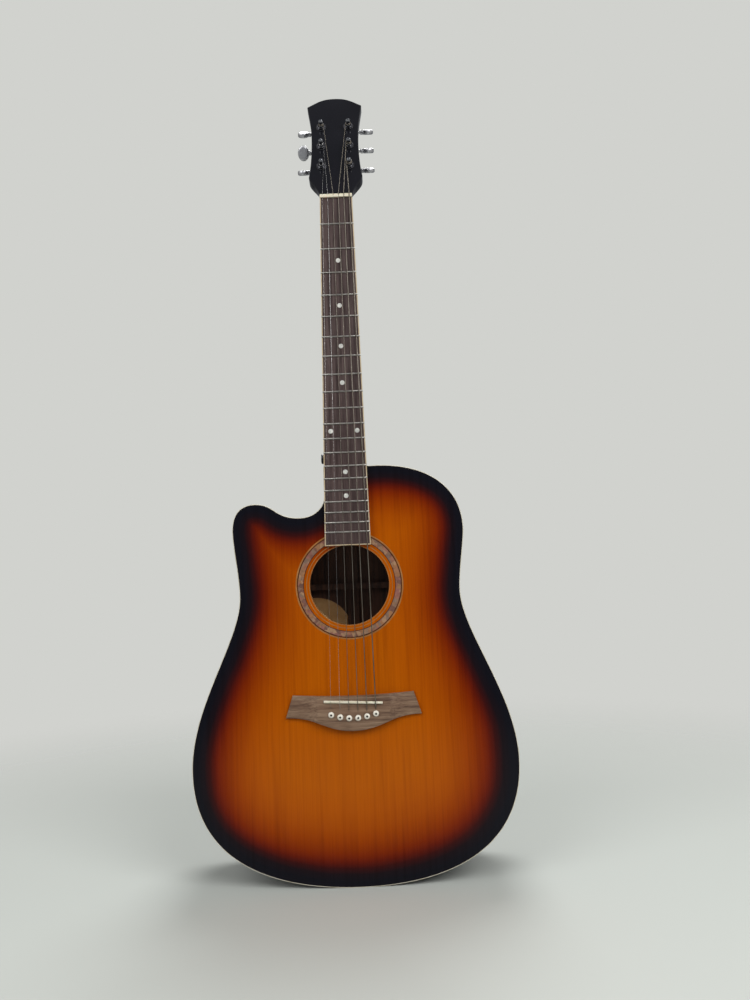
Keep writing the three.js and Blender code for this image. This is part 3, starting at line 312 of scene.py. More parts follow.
def raised(finish, factor, strength, height):
    bump = node(finish.node_tree, "ShaderNodeBump", {
        "Strength": strength, "Distance": height, "Height": factor})
    feed(finish, "Normal", bump.outputs["Normal"])


outline = drawn(body_curves, 5)
board_edge = inset(outline, binding_width)
hole_edge = [sound_hole + (p - sound_hole).normalized() * sound_hole_radius for p in board_edge]
plate_steps, front_limit = 48, 0.01
work = bmesh.new()
outer, inner = loft(work, [board_edge, hole_edge])
across = [work.edges.get(pair) for pair in zip(outer, inner)]
under = bmesh.ops.extrude_face_region(work, geom=work.faces[:])["geom"]
bmesh.ops.translate(work, vec=(0, top_thickness, 0), verts=[
    part for part in under if isinstance(part, bmesh.types.BMVert)])
bmesh.ops.subdivide_edges(work, edges=across, cuts=plate_steps, use_grid_fill=True)
for face in work.faces:
    face.material_index = 0 if face.calc_center_median().y < front_limit else 1

burst_reach, cloud_reach = 120, 8
burst = new_finish("sunburst_lacquer", tone(150, 74, 5), 0.3, Coat_Weight=0.35, Coat_Roughness=0.06,
                   Coat_IOR=1.35, Specular_IOR_Level=0.0)
tree = burst.node_tree
# The rim distance also carries the painted light and shade set below on the full side of the body.
rim_distance = node(tree, "ShaderNodeAttribute", attribute_name="rim_distance")
uneven = node(tree, "ShaderNodeMath", {
    0: speckle(burst, 9, detail=2), 1: cloud_reach, 2: rim_distance.outputs["Fac"]}, operation="MULTIPLY_ADD")
spread = between(tree, uneven.outputs[0], cloud_reach / 2, burst_reach + cloud_reach / 2)
sprayed = ramp(burst, spread, [
    (distance / burst_reach, tone(*colour)) for distance, colour in (
        (8, (17, 17, 24)), (16, (25, 16, 21)), (23, (54, 15, 14)), (30, (92, 23, 7)), (38, (118, 37, 2)),
        (50, (137, 53, 0)), (68, (155, 69, 0)), (88, (164, 77, 0)), (115, (168, 82, 0)),
    )])
streaks = speckle(burst, 1, stretch=(170, 20, 5), detail=5)
fine_streaks = speckle(burst, 1, stretch=(620, 20, 9), detail=3)
grain = ramp(burst, streaks, [
    (0.3, (0.84, 0.8, 0.78, 1)), (0.52, (1, 1, 1, 1)), (0.75, (1.05, 1.06, 1.06, 1))])
fine_grain = ramp(burst, fine_streaks, [(0.35, (0.9, 0.88, 0.86, 1)), (0.6, (1, 1, 1, 1))])
coloured(burst, multiplied(burst, multiplied(burst, sprayed, grain), fine_grain))
roughened(burst, speckle(burst, 30, detail=6), 0.22, 0.36)
raised(burst, fine_streaks, 0.05, 0.0004)

bare_spruce = new_finish("bare_spruce", tone(176, 138, 92), 0.6)
mottled(bare_spruce, 1, (128, 92, 56), (186, 148, 100), (0.35, 0.6), stretch=(500, 60, 8))
raised(bare_spruce, speckle(bare_spruce, 1, stretch=(700, 60, 10)), 0.2, 0.0004)
soundboard = make_piece(work, "soundboard_plate", [burst, bare_spruce], "guitar",
                        ["soundboard"])


def finder(points):
    """Finds which of the points lies nearest to a place."""
    found = kdtree.KDTree(len(points))
    for i, point in enumerate(points):
        found.insert(point, i)
    found.balance()
    return found


rim = finder(drawn(body_curves, 1.5))
from_metres = to_metres.inverted()
# Beside the full side of the body the dark band is narrower at the top and wider at the bottom. This is
# painted light and shade: that side of the top is lighter towards the upper bout and darker towards the tail.
painted_light_middle, painted_light_half_height, painted_light_change = 270, 200, 0.2
distances = soundboard.data.attributes.new("rim_distance", "FLOAT", "POINT")
for vert in soundboard.data.vertices:
    place = from_metres @ vert.co
    side, up = place.x / upper_half, (place.z - painted_light_middle) / painted_light_half_height
    painted_light_narrowing = 1 + painted_light_change * max(side, 0) * up
    distances.data[vert.index].value = rim.find((place.x, 0, place.z))[2] * painted_light_narrowing


# Rosette: a ring of brown and rose pearl between thin brown and tan lines, let into the soundboard round
# the hole, with two thin tan lines inside it.
def spokes(count):
    """Even directions round a circle, as cosine and sine."""
    return [(math.cos(i / count * math.tau), math.sin(i / count * math.tau)) for i in range(count)]


def washer(work, bands, front, back):
    """A flat ring about the sound hole from (radius, finish of the band outside it) pairs."""
    radii = [radius for radius, _ in bands]
    rows = [[sound_hole + Vector((radius * c, depth, radius * s)) for c, s in spokes(120)]
            for radius, depth in [(r, front) for r in radii] + [(radii[-1], back), (radii[0], back)]]
    loft(work, rows + rows[:1], finishes=[finish for _, finish in bands[:-1]] + [bands[-2][1], 0, 0])


def mottled_finish(name, base, rough, cloud, dark, light, wear, detail=4.0, **settings):
    """A finish in cloudy spots of two tones; the wear is its rough spots' scale and range."""
    finish = new_finish(name, tone(*base), rough, **settings)
    mottled(finish, cloud, dark, light, detail=detail)
    scale, low, high = wear
    roughened(finish, speckle(finish, scale, detail=detail), low, high)
    return finish


pearl = new_finish("ring_pearl", tone(132, 104, 82), 0.22, Coat_Weight=0.4, Coat_Roughness=0.08,
                   Specular_IOR_Level=0.2)
tree = pearl.node_tree
shell_spot = node(tree, "ShaderNodeTexCoord")
shell = node(tree, "ShaderNodeTexVoronoi", {"Vector": shell_spot.outputs["Object"], "Scale": 190},
             feature="F1")
chip = node(tree, "ShaderNodeSeparateColor", {0: shell.outputs["Color"]})
coloured(pearl, multiplied(pearl, ramp(pearl, chip.outputs[0], [
    (0.05, tone(106, 76, 64)), (0.3, tone(138, 92, 82)), (0.5, tone(146, 104, 70)), (0.7, tone(114, 94, 84)),
    (0.9, tone(154, 120, 92))]),
    ramp(pearl, speckle(pearl, 240, detail=3), [(0.3, (0.78, 0.76, 0.76, 1)), (0.6, (1, 1, 1, 1))])))
roughened(pearl, speckle(pearl, 200), 0.16, 0.3)
line_tan = mottled_finish("line_tan", (146, 98, 52), 0.3, 90, (134, 84, 38), (158, 110, 62),
                          (120, 0.24, 0.38), Specular_IOR_Level=0.2)
line_brown = mottled_finish("line_brown", (70, 36, 22), 0.3, 200, (56, 28, 18), (86, 46, 28),
                            (120, 0.24, 0.38), Specular_IOR_Level=0.2)
ring_front, ring_back, thin_ring_back = -0.04, 0.8, 0.5
work = bmesh.new()
washer(work, [(57.5, 2), (58.4, 0), (64.8, 2), (66.3, 1), (68, 1)], ring_front, ring_back)
washer(work, [(53.6, 1), (54.6, 1)], ring_front, thin_ring_back)
washer(work, [(50.2, 1), (51, 1)], ring_front, thin_ring_back)
make_piece(work, "rosette_ring", [pearl, line_tan, line_brown], "guitar", ["rosette"])

# Bindings: strips of black plastic with a thin ivory line along the outer corner, glued round the rims of
# the top and the back and scraped flush, with their outer edges eased by hand.
line_cream = mottled_finish("line_cream", (206, 200, 184), 0.3, 90, (190, 182, 160), (216, 211, 198),
                            (120, 0.24, 0.38), Specular_IOR_Level=0.3)
line_black = mottled_finish("line_black", (22, 18, 18), 0.3, 300, (16, 13, 14), (32, 27, 26),
                            (120, 0.24, 0.36), Specular_IOR_Level=0.2)
depth_at_tail, depth_at_neck = 118, 104
binding_depth = 3
eased, line_width, corner_share = 0.4, 0.4, 0.3


def back_at(height):
    return depth_at_tail - (depth_at_tail - depth_at_neck) * height / neck_joint


def back_inside(height):
    return back_at(height) - binding_depth


def binding(name, front, back, stands_for, outside_first):
    face, tucked = (front, back) if outside_first else (back, front)
    sink = eased if outside_first else -eased
    rows = [at_depth(inset(outline, shy), lambda z: side(z) + shift) for shy, side, shift in (
        (binding_width, face, 0), (eased + line_width, face, 0), (eased, face, 0),
        (eased * corner_share, face, sink * corner_share), (0, face, sink), (0, tucked, 0),
        (binding_width, tucked, 0))]
    work = bmesh.new()
    loft(work, rows + rows[:1], finishes=[1, 0, 0, 0, 1, 1, 1])
    make_piece(work, name, [line_cream, line_black], "guitar", [stands_for], crease=50)


binding("top_binding_strip", lambda z: 0, lambda z: binding_depth, "top_binding", True)
binding("back_binding_strip", back_inside, back_at, "back_binding", False)

# Sides: two strips of thin veneer, bent over a hot iron to the body's outline and joined at the tail and
# at the neck block, lacquered black to a high gloss.
side_thickness = 2.4
black_gloss = new_finish("black_gloss_lacquer", tone(20, 20, 25), 0.25, Coat_Weight=1.0, Coat_Roughness=0.04,
                         Coat_IOR=1.4, Specular_IOR_Level=0.0)
mottled(black_gloss, 14, (17, 17, 22), (24, 24, 29), detail=6)
roughened(black_gloss, speckle(black_gloss, 60, detail=8), 0.18, 0.34)
raised(black_gloss, speckle(black_gloss, 40, detail=2), 0.02, 0.0005)
side_inner = inset(outline, side_thickness)
tail_index = min(range(len(outline)), key=lambda i: outline[i].length)
for side_name, run in (("side_bass", range(0, tail_index + 1)),
                       ("side_treble", range(tail_index, len(outline) + 1))):
    picks = [i % len(outline) for i in run]
    outside, inside = [outline[i] for i in picks], [side_inner[i] for i in picks]
    work = bmesh.new()
    rows = [at_depth(outside, binding_depth), at_depth(outside, back_inside),
            at_depth(inside, back_inside), at_depth(inside, binding_depth)]
    rings = loft(work, rows + rows[:1], closed=False, finishes=[0, 1, 1, 1])
    for end in (0, -1):
        work.faces.new([ring[end] for ring in rings[:4]])
    make_piece(work, side_name + "_wall", [black_gloss, bare_spruce], "guitar", [side_name])

# Back: one plate of mahogany with a slight arch, bare inside and lacquered black outside. It is glued to
# the sides over the back braces.
back_arch, back_levels, back_core = 2.0, 16, 0.02


def back_row(share, depth):
    return [Vector((q.x, depth(q.z) + back_arch * (1 - share * share), q.z))
            for q in (sound_hole + (p - sound_hole) * share for p in board_edge)]


shares = [back_core] + [i / back_levels for i in range(1, back_levels + 1)]
rows = [back_row(share, back_inside) for share in shares]
rows += [back_row(share, back_at) for share in reversed(shares)]
work = bmesh.new()
rings = loft(work, rows, finishes=[1] * back_levels + [0] * (back_levels + 1))
work.faces.new(rings[0]).material_index = 1
work.faces.new(rings[-1])
dark_mahogany = new_finish("dark_mahogany", tone(84, 50, 32), 0.55)
mottled(dark_mahogany, 1, (62, 36, 23), (98, 60, 38), (0.32, 0.6), stretch=(260, 60, 14), detail=6)
raised(dark_mahogany, speckle(dark_mahogany, 1, stretch=(800, 200, 40)), 0.25, 0.0004)
make_piece(work, "back_board", [black_gloss, dark_mahogany], "guitar", ["back_plate"])

# Inside the body: mahogany blocks at the neck and the tail, kerfed linings round both rims, spruce braces
# under the top, mahogany ones across the back, and the plate under the bridge, all left bare.
mahogany = new_finish("bare_mahogany", tone(140, 92, 60), 0.6)
mottled(mahogany, 1, (104, 64, 40), (156, 106, 70), (0.32, 0.62), stretch=(220, 120, 16), detail=6)
raised(mahogany, speckle(mahogany, 1, stretch=(800, 300, 50)), 0.25, 0.0004)
cross_spruce = new_finish("cross_spruce", tone(186, 150, 104), 0.6)
mottled(cross_spruce, 1, (150, 114, 74), (196, 160, 112), (0.35, 0.6), stretch=(8, 400, 400))
raised(cross_spruce, speckle(cross_spruce, 1, stretch=(10, 600, 600)), 0.2, 0.0004)
steel = mottled_finish("oiled_steel", (120, 120, 122), 0.35, 400, (96, 96, 98), (140, 140, 142),
                       (300, 0.28, 0.45), Metallic=1.0)
for inner_finish, names in (
    (mahogany, ("neck_block", "tail_block", "top_lining", "back_lining", "bridge_plate")),
    (bare_spruce, ("top_bracing",)),
    (cross_spruce, ("upper_brace",)),
    (dark_mahogany, ("back_bracing",)),
    (steel, ("truss_rod", "truss_rod_nut")),
):
    for name in names:
        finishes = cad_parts[name].data.materials
        finishes.clear()
        finishes.append(inner_finish)

# Round paper patch: plain paper that has yellowed, glued on the inside of the back where it shows through
# the sound hole.
paper = new_finish("plain_paper", tone(224, 172, 112), 0.8)
mottled(paper, 60, (204, 148, 90), (232, 184, 126))
raised(paper, speckle(paper, 900), 0.15, 0.0002)
paper_middle, paper_radius, paper_lifts = Vector((-52, 0, 298)), 49, (1.2, 0.5)
paper_row = [paper_middle + Vector((c, 0, s)) * paper_radius for c, s in spokes(96)]
work = bmesh.new()
loft(work, [at_depth(paper_row, lambda z: back_inside(z) + lift * back_arch) for lift in paper_lifts],
     capped=True)
make_piece(work, "paper_patch", [paper], "guitar")

# Neck: one glued-up piece of mahogany with a rounded shaft, a heel that deepens to the body and a tilted
# headstock, lacquered black all over.
scale_length, fret_count = 648, 20
nut_level = 874.3488


def fret_level(number):
    return nut_level - scale_length * (1 - 2 ** (-number / 12))


board_low_width, nut_width, board_overhang = 58, 43, 17
board_end = fret_level(fret_count) - board_overhang
ledge = nut_level + 5.6
board_face, board_back = -6.3, -0.3
heel_foot = neck_joint + 0.3
heel_length, heel_depth, heel_curve, heel_taper, keel_half = 78, 88, 2.4, 0.62, 0.5
shaft_depth_low, shaft_depth_high = 16.5, 14.5
shaft_steps, shaft_crowding, ring_steps = 63, 1.7, 16
head_tilt = math.radians(15)
head_length, head_thickness, head_face, head_corner = 179.5, 15, 3.3, 165.39
head_steps, crown_steps, head_swell, head_settle = 44, 14, 1.6, 34
neck_lip, head_lip, closing_half = 0.3, 0.8, 0.02
roundness, head_squareness = 2.1, 14


def board_width_at(height):
    return nut_width + (board_low_width - nut_width) * (nut_level - height) / (nut_level - board_end)


def neck_shape(height):
    rise = min(max((height - neck_joint) / heel_length, 0), 1)
    heel = (1 - rise) ** heel_curve
    share = (height - neck_joint) / (nut_level - neck_joint)
    shaft = shaft_depth_low + (shaft_depth_high - shaft_depth_low) * share
    return board_width_at(min(height, nut_level)) / 2, heel, shaft + (heel_depth - shaft_depth_low) * heel


def shaft_half(height, depth_share):
    half, heel, _ = neck_shape(height)
    round_share = math.sqrt(max(1 - depth_share ** 2, 0))
    tapered = 1 - heel_taper * depth_share
    return max(half * (round_share + (tapered - round_share) * math.sqrt(heel)), keel_half)


head_frame = Matrix((
    (1, 0, 0, 0),
    (0, math.sin(head_tilt), -math.cos(head_tilt), -head_face),
    (0, math.cos(head_tilt), math.sin(head_tilt), nut_level),
    (0, 0, 0, 1),
))
head_curves = [
    ((21.5, 0), (21.5, 21.18), (36.2, 27.34), (36.2, 38.5)),
    ((36.2, 38.5), (34, 50.8), (32.2, 72.07), (32.2, 99.98)),
    ((32.2, 99.98), (32.2, 127.9), (34.2, 137.47), (38, head_corner)),
    ((38, head_corner), (23.56, 174.14), (19, head_length), (0, head_length)),
]
head_line = [(p.z, p.x) for p in drawn(head_curves, 1.5)] + [(head_length, 0)]


def read_off(line, place):
    """The second number of a line of pairs at a value of the first, which rises."""
    for (x0, y0), (x1, y1) in zip(line, line[1:]):
        if x0 <= place <= x1:
            return y0 + (y1 - y0) * (place - x0) / max(x1 - x0, 1e-9)
    return line[-1][1] if place > line[-1][0] else line[0][1]


def neck_ring(front, depth, half, lip, squareness, half_at=None):
    """One closed section: a flat front with eased edges, and a back that runs from round to square."""
    inward = depth.normalized() * lip
    right = [Vector((half - lip, 0, 0)) + front, Vector((half, 0, 0)) + front + inward]
    for i in range(1, ring_steps + 1):
        turn = i / ring_steps * math.pi / 2
        share = math.sin(turn) ** (2 / squareness)
        wide = half_at(share) if half_at else half * max(math.cos(turn), 0) ** (2 / squareness)
        right.append(front + inward + (depth - inward) * share + Vector((wide, 0, 0)))
    return right + [Vector((-p.x, p.y, p.z)) for p in reversed(right)]


rows = []
for i in range(shaft_steps + 1):
    level = heel_foot + (nut_level - heel_foot) * (i / shaft_steps) ** shaft_crowding
    half, _, depth = neck_shape(level)
    rows.append(neck_ring(Vector((0, board_back, level)), Vector((0, depth - board_back, 0)), half,
                          neck_lip, 2, lambda share: shaft_half(level, share)))
last_rise = (ledge - nut_level) / math.cos(head_tilt)
head_inward = head_frame.to_3x3() @ Vector((0, 0, -1))
back_point = head_frame @ Vector((0, last_rise, 0)) + head_inward * (head_thickness + head_swell)
ledge_front = Vector((0, board_back, ledge))
rows.append(neck_ring(ledge_front, back_point - ledge_front, read_off(head_line, last_rise), neck_lip,
                      roundness))
rises = [last_rise + (head_corner - last_rise) * i / head_steps for i in range(head_steps + 1)]
rises += [head_corner + (head_length - head_corner) * math.sin(i / crown_steps * math.pi / 2)
          for i in range(1, crown_steps + 1)]
for rise in rises:
    settle = min(max((rise - last_rise) / head_settle, 0), 1)
    smooth = settle * settle * (3 - 2 * settle)
    half = read_off(head_line, rise)
    rows.append(neck_ring(
        head_frame @ Vector((0, rise, 0)), head_inward * (head_thickness + head_swell * (1 - smooth)),
        max(half, closing_half), min(head_lip, half * 0.4), roundness + head_squareness * smooth))
work = bmesh.new()
rings = loft(work, rows)
work.faces.new(rings[0])
make_piece(work, "neck_and_headstock", [black_gloss], "guitar", ["neck"], crease=40)

# Strap button: a turned knob of dark chromed metal, held by a screw in the side of the heel above the
# cutaway.
dark_chrome = mottled_finish("dark_chrome", (84, 84, 88), 0.3, 120, (72, 72, 76), (104, 104, 108),
                             (500, 0.24, 0.42), detail=6, Metallic=1.0)


def turned(work, profile, axis=(0, 0, 1), steps=40, centre=(0, 0, 0)):
    """A lathe-turned shape: (radius, along) pairs spun once round an axis through a centre."""
    outward = Vector(axis).orthogonal().normalized()
    chain = [work.verts.new(Vector(centre) + outward * r + Vector(axis) * h) for r, h in profile]
    links = [work.edges.new(pair) for pair in zip(chain, chain[1:])]
    bmesh.ops.spin(work, geom=chain + links, cent=centre, axis=axis, angle=math.tau, steps=steps,
                   use_merge=True, use_duplicate=False)


button_level, button_depth, button_face_x, button_foot = neck_joint + 16, 34, -33, 5.6
foot_x = -shaft_half(button_level, (button_depth - button_foot) / neck_shape(button_level)[2])
reach = foot_x - button_face_x
work = bmesh.new()
turned(work, [
    (0, -2), (button_foot, -2), (button_foot, 0.4), (5.2, 0.9), (4.2, reach / 3), (4, reach / 2),
    (4.1, reach - 3.4), (5.4, reach - 2.9), (6.3, reach - 2.5), (6.5, reach - 2.1), (6.5, reach - 0.9),
    (6.1, reach - 0.3), (5.4, reach), (2.6, reach), (2.2, reach - 0.35), (0, reach - 0.35),
], (-1, 0, 0), centre=(foot_x, button_depth, button_level))
make_piece(work, "strap_knob", [dark_chrome], "guitar", ["strap_button"])

# Fingerboard: a flat board of dark rosewood glued on the neck and over the top, with a cream strip let in
# along both edges and the end, and round pearl dots.
strip_width, strip_ease, strip_proud = 1.2, 0.25, 0.02


def rosewood_of(name, base, rough, tones, streak_run, pore_run, wear):
    """Dark wood with streaks of three tones and open pores, which both run along the grain."""
    wood = new_finish(name, tone(*base), rough, Specular_IOR_Level=0.3)
    streaks = speckle(wood, 1, stretch=streak_run, detail=7)
    pores = speckle(wood, 1, stretch=pore_run, detail=4)
    coloured(wood, multiplied(
        wood, ramp(wood, streaks, [(step, tone(*colour)) for step, colour in zip((0.3, 0.52, 0.72), tones)]),
        ramp(wood, pores, [(0.36, (0.6, 0.56, 0.54, 1)), (0.5, (1, 1, 1, 1))])))
    roughened(wood, streaks, *wear)
    raised(wood, pores, 0.25, 0.0003)
    return wood


rosewood = rosewood_of("oiled_rosewood", (68, 53, 51), 0.42, ((50, 36, 35), (72, 57, 55), (88, 71, 68)),
                       (300, 80, 9), (1500, 300, 60), (0.34, 0.52))
work = bmesh.new()
bmesh.ops.create_cube(work, size=1)
for vert in work.verts:
    level = board_end + strip_width if vert.co.z < 0 else nut_level
    half = board_width_at(level) / 2 - strip_width
    vert.co = (half if vert.co.x > 0 else -half, board_face if vert.co.y < 0 else 0, level)
make_piece(work, "rosewood_board", [rosewood], "guitar", ["fingerboard"])

work = bmesh.new()
high_half, low_half = nut_width / 2, board_low_width / 2
rows = []
for outer_x, inner_x, outer_z, inner_z in (
    (-high_half, -high_half + strip_width, nut_level, nut_level),
    (-low_half, -low_half + strip_width, board_end, board_end + strip_width),
    (low_half, low_half - strip_width, board_end, board_end + strip_width),
    (high_half, high_half - strip_width, nut_level, nut_level),
):
    shy = math.copysign(strip_ease, outer_x)
    shy_z = strip_ease if outer_z == board_end else 0
    strip_face = board_face - strip_proud
    rows.append([Vector(corner) for corner in (
        (outer_x, 0, outer_z), (outer_x, board_face + strip_ease, outer_z),
        (outer_x - shy, strip_face, outer_z + shy_z), (inner_x, strip_face, inner_z), (inner_x, 0, inner_z))])
loft(work, rows, capped=True)
board_ivory = mottled_finish("board_ivory", (190, 172, 142), 0.35, 90, (176, 156, 124), (200, 184, 156),
                             (120, 0.28, 0.42), Specular_IOR_Level=0.3)
make_piece(work, "board_edge_strip", [board_ivory], "guitar", crease=25)
dot_pearl = new_finish("dot_pearl", tone(206, 204, 196), 0.25, Coat_Weight=0.3)
mottled(dot_pearl, 420, (176, 178, 174), (222, 220, 212), detail=3)
roughened(dot_pearl, speckle(dot_pearl, 300), 0.18, 0.34)
dot_radius, pair_half = 3.0, 17
work = bmesh.new()
for number, x in ((3, 0), (5, 0), (7, 0), (9, 0), (12, -pair_half), (12, pair_half), (15, 0), (17, 0)):
    level = (fret_level(number) + fret_level(number - 1)) / 2
    turned(work, [(0, -0.4), (dot_radius, -0.4), (dot_radius, 0.03), (dot_radius - 0.1, 0.06), (0, 0.06)],
           (0, -1, 0), steps=28, centre=(x, board_face, level))
make_piece(work, "position_dots", [dot_pearl], "guitar")

# Frets: crowned nickel wire, pressed into slots sawn across the board a half step apart. The ends are
# filed flush with the board's edges and bevelled.
fret_half_width, fret_height, fret_sunk, fret_step, fret_facets = 1.0, 1.0, 0.2, 0.3, 8
nickel = new_finish("fret_nickel", tone(190, 188, 182), 0.25, Metallic=1.0)
mottled(nickel, 1, (150, 146, 140), (192, 188, 182), stretch=(120, 900, 900), detail=5)
roughened(nickel, speckle(nickel, 1, stretch=(60, 1200, 1200), detail=5), 0.26, 0.46)


def both_ends(half, ends):
    """Sections of a bar from (distance to its end, value) pairs, with the other end as its mirror."""
    near = [(shy - half, value) for shy, value in ends]
    return near + [(-x, value) for x, value in reversed(near)]


work = bmesh.new()
for number in range(1, fret_count + 1):
    level = fret_level(number)
    rows = []
    for x, size in both_ends(board_width_at(level) / 2, ((0, 0.35), (0.12, 0.8), (0.6, 1))):
        wide, high = fret_half_width * size, fret_height * size
        turns = [i / fret_facets * math.pi for i in range(fret_facets + 1)]
        line = [(fret_sunk, -wide)] + [(-fret_step - high * math.sin(a), -wide * math.cos(a)) for a in turns]
        rows.append([Vector((x, board_face + y, level + z)) for y, z in line + [(fret_sunk, wide)]])
    loft(work, rows, capped=True)
make_piece(work, "fret_wires", [nickel], "guitar", ["frets"])

# Nut: a block of bone glued across the end of the fingerboard, rounded towards the headstock. The strings
# cross it on their way to the posts.
bone = new_finish("polished_bone", tone(214, 206, 186), 0.35, Subsurface_Weight=0.05)
mottled(bone, 1, (196, 186, 160), (224, 217, 200), stretch=(60, 300, 300), detail=5)
roughened(bone, speckle(bone, 200), 0.28, 0.42)
nut_front, nut_flat, nut_round, nut_round_back, nut_ease = -8.5, 1.8, 3.5, 1.9, 0.25
nut_middle, nut_facets = (-4.2, 2.6), 6
nut_line = [(0.0, 0.0), (nut_front + 0.5, 0.0), (nut_front, 0.4), (nut_front, nut_flat)]
for i in range(1, nut_facets + 1):
    turn = i / nut_facets * math.pi / 2
    nut_line.append((nut_front + nut_round_back * (1 - math.cos(turn)),
                     nut_flat + nut_round * math.sin(turn)))
nut_line.append((0.0, nut_flat + nut_round))
rows = []
for x, pull in both_ends(nut_width / 2, ((0, nut_ease), (nut_ease, 0))):
    rows.append([Vector((x, y + (pull if y < nut_middle[0] else -pull),
                         nut_level + z + (pull if z < nut_middle[1] else -pull))) for y, z in nut_line])
work = bmesh.new()
loft(work, rows, capped=True)
make_piece(work, "bone_nut", [bone], "guitar", ["nut"])

# Bridge: one piece of dark rosewood with a belly below and scooped wings, glued on the soundboard. It
# takes the saddle in a slanted slot and the six pins.
bridge_height, wing_height = 8, 3.6
bridge_top_half, bridge_tip_half, tip_bend = 75, 84, 79.5
bridge_top, bridge_tip, bridge_belly, top_dip = 230.3, 203, 185.7, 2.8
wing_start, wing_bend, bridge_ease = 44, 54, 1.0
lower_line = [(p.x, p.z) for p in drawn([((-bridge_tip_half, bridge_tip), (-42, bridge_tip),
                                          (-35.3, bridge_belly), (0, bridge_belly))], 1)]


def bent(start, pull, end, t):
    """A place on a curve that leaves its start towards the pull and bends to its end."""
    return (1 - t) ** 2 * start + 2 * t * (1 - t) * pull + t * t * end


shares = [i / 40 for i in range(41)]
upper_tip = [(bent(bridge_top_half, tip_bend, bridge_tip_half, t), bridge_top + (bridge_tip - bridge_top) * t)
             for t in shares]
wing_line = [(bent(wing_start, wing_bend, bridge_tip_half, t),
              bent(bridge_height, wing_height, wing_height, t)) for t in shares]

stations = [bridge_tip_half * math.sin(i / 20 * math.pi / 2) for i in range(20)]
stations += [wing_start, 47, 50, bridge_top_half, 76.5, 78, 80, 81.5, 83, 83.6, bridge_tip_half]
stations = sorted(set(round(s, 3) for s in stations))
stations = [-s for s in reversed(stations) if s > 0] + stations
rows = []
for x in stations:
    size = abs(x)
    low, high = read_off(lower_line, -size), read_off(upper_tip, size)
    height = read_off(wing_line, size)
    if size <= bridge_top_half:
        high = bridge_top - top_dip * (1 - (size / bridge_top_half) ** 2)
    ease = min(bridge_ease, (high - low) / 2)
    drop = min(bridge_ease, height * 0.4)
    rows.append([Vector((x, y, z)) for y, z in (
        (0, low), (drop - height, low), (drop * corner_share - height, low + ease * corner_share),
        (-height, low + ease), (-height, high - ease),
        (drop * corner_share - height, high - ease * corner_share), (drop - height, high), (0, high))])
work = bmesh.new()
loft(work, rows)
bridge_wood = rosewood_of(
    "bridge_rosewood", (114, 90, 72), 0.4, ((88, 65, 52), (120, 95, 76), (144, 120, 98)),
    (9, 300, 300), (60, 1500, 1500), (0.32, 0.5))
make_piece(work, "belly_bridge", [bridge_wood], "guitar", ["bridge"], crease=40)

# Saddle: a thin bone bar with a rounded crown, standing in the bridge's slanted slot, where the strings
# press it down.
saddle_level, saddle_length, saddle_thickness, saddle_top = 220.5, 72.5, 3.0, 10.8
saddle_foot, saddle_crown, saddle_rise = -5, 1.2, 1.7
saddle_slant = math.asin(saddle_rise / (saddle_length / 2))
half, crown_foot = saddle_thickness / 2, saddle_crown - saddle_top
saddle_line = [(saddle_foot, -half), (crown_foot, -half)]
saddle_line += [(crown_foot - saddle_crown * math.sin(i / 8 * math.pi), -half * math.cos(i / 8 * math.pi))
                for i in range(1, 8)]
saddle_line += [(crown_foot, half), (saddle_foot, half)]
rows = [[Vector((x, y + (drop if y < -bridge_height else 0), z)) for y, z in saddle_line]
        for x, drop in both_ends(saddle_length / 2, ((0, 0.9), (0.35, 0.3), (1.25, 0)))]
work = bmesh.new()
loft(work, rows, capped=True)
bmesh.ops.transform(work, verts=work.verts[:], matrix=(
    Matrix.Translation((0, 0, saddle_level)) @ Matrix.Rotation(saddle_slant, 4, "Y")))
make_piece(work, "bone_saddle", [bone], "guitar", ["saddle"])

# Bridge pins: turned white plastic with a domed head and a small dark dot in it, pushed into reamed
# holes beside the strings' ball ends.
string_count, pin_half_spread, pin_row_level, pin_row_bow = 6, 27.5, neck_joint - 309, 4.6
dot_edge, dot_depth = 1.25, -5
string_sides = [(i - 2.5) / 2.5 for i in range(string_count)]
pin_places = [(pin_half_spread * side, pin_row_level - pin_row_bow * (1 - side ** 2))
              for side in string_sides]
pin_white = mottled_finish("pin_plastic_white", (220, 216, 204), 0.3, 300, (204, 198, 182), (228, 224, 214),
                           (400, 0.24, 0.38), Coat_Weight=0.2)
for i, (x, z) in enumerate(pin_places):
    work = bmesh.new()
    turned(work, [(0, 10.9), (0.7, 10.9), (1.2, 10.84), (1.3, 10.82), (2.1, 10.6), (2.9, 10.15), (3.4, 9.6),
                  (3.7, 9.0), (3.65, 8.6), (3.3, 8.3), (2.5, 8.15), (2.4, 7.6), (2.1, -11.5), (1.4, -11.7),
                  (0, -11.7)], (0, -1, 0), centre=(x, 0, z))
    for face in work.faces:
        middle = face.calc_center_median()
        if middle.y < dot_depth and math.hypot(middle.x - x, middle.z - z) < dot_edge:
            face.material_index = 1
    make_piece(work, f"white_pin_{i + 1}", [pin_white, line_black], "guitar",
               [f"bridge_pin_{i + 1}"])

# Tuners: a threaded bushing with a washer and a hexagon on the face, a cast case screwed on the back, a
# post with a gear, and an oval button on the worm's shaft. Post and button turn; the rest stays.
tuner_half, ferrule_points = 18.8, 48
tuner_rises = [head_length * share for share in (0.3175, 0.5159, 0.7086)]
tuners = [(-tuner_half, rise) for rise in tuner_rises]
tuners += [(tuner_half, rise) for rise in reversed(tuner_rises)]
button_turns = [math.radians(turn) for turn in (-44, 46, -34, -44, -44, -44)]
worm_rise, gear_level = 10, -20.8
hex_half, hex_low, hex_top = 5, 1.0, 3.0
string_widths = [0.32, 0.42, 0.62, 0.82, 1.08, 1.35]
wrap_turns = [2.5, 2.5, 2.5, 1.75, 1.75, 1.75]
wrap_gap, wrap_steps, wrap_start, post_waist = 0.46, 32, 0.6, 2.9
nut_half_spread, nut_crossing = 17.75, -7.9


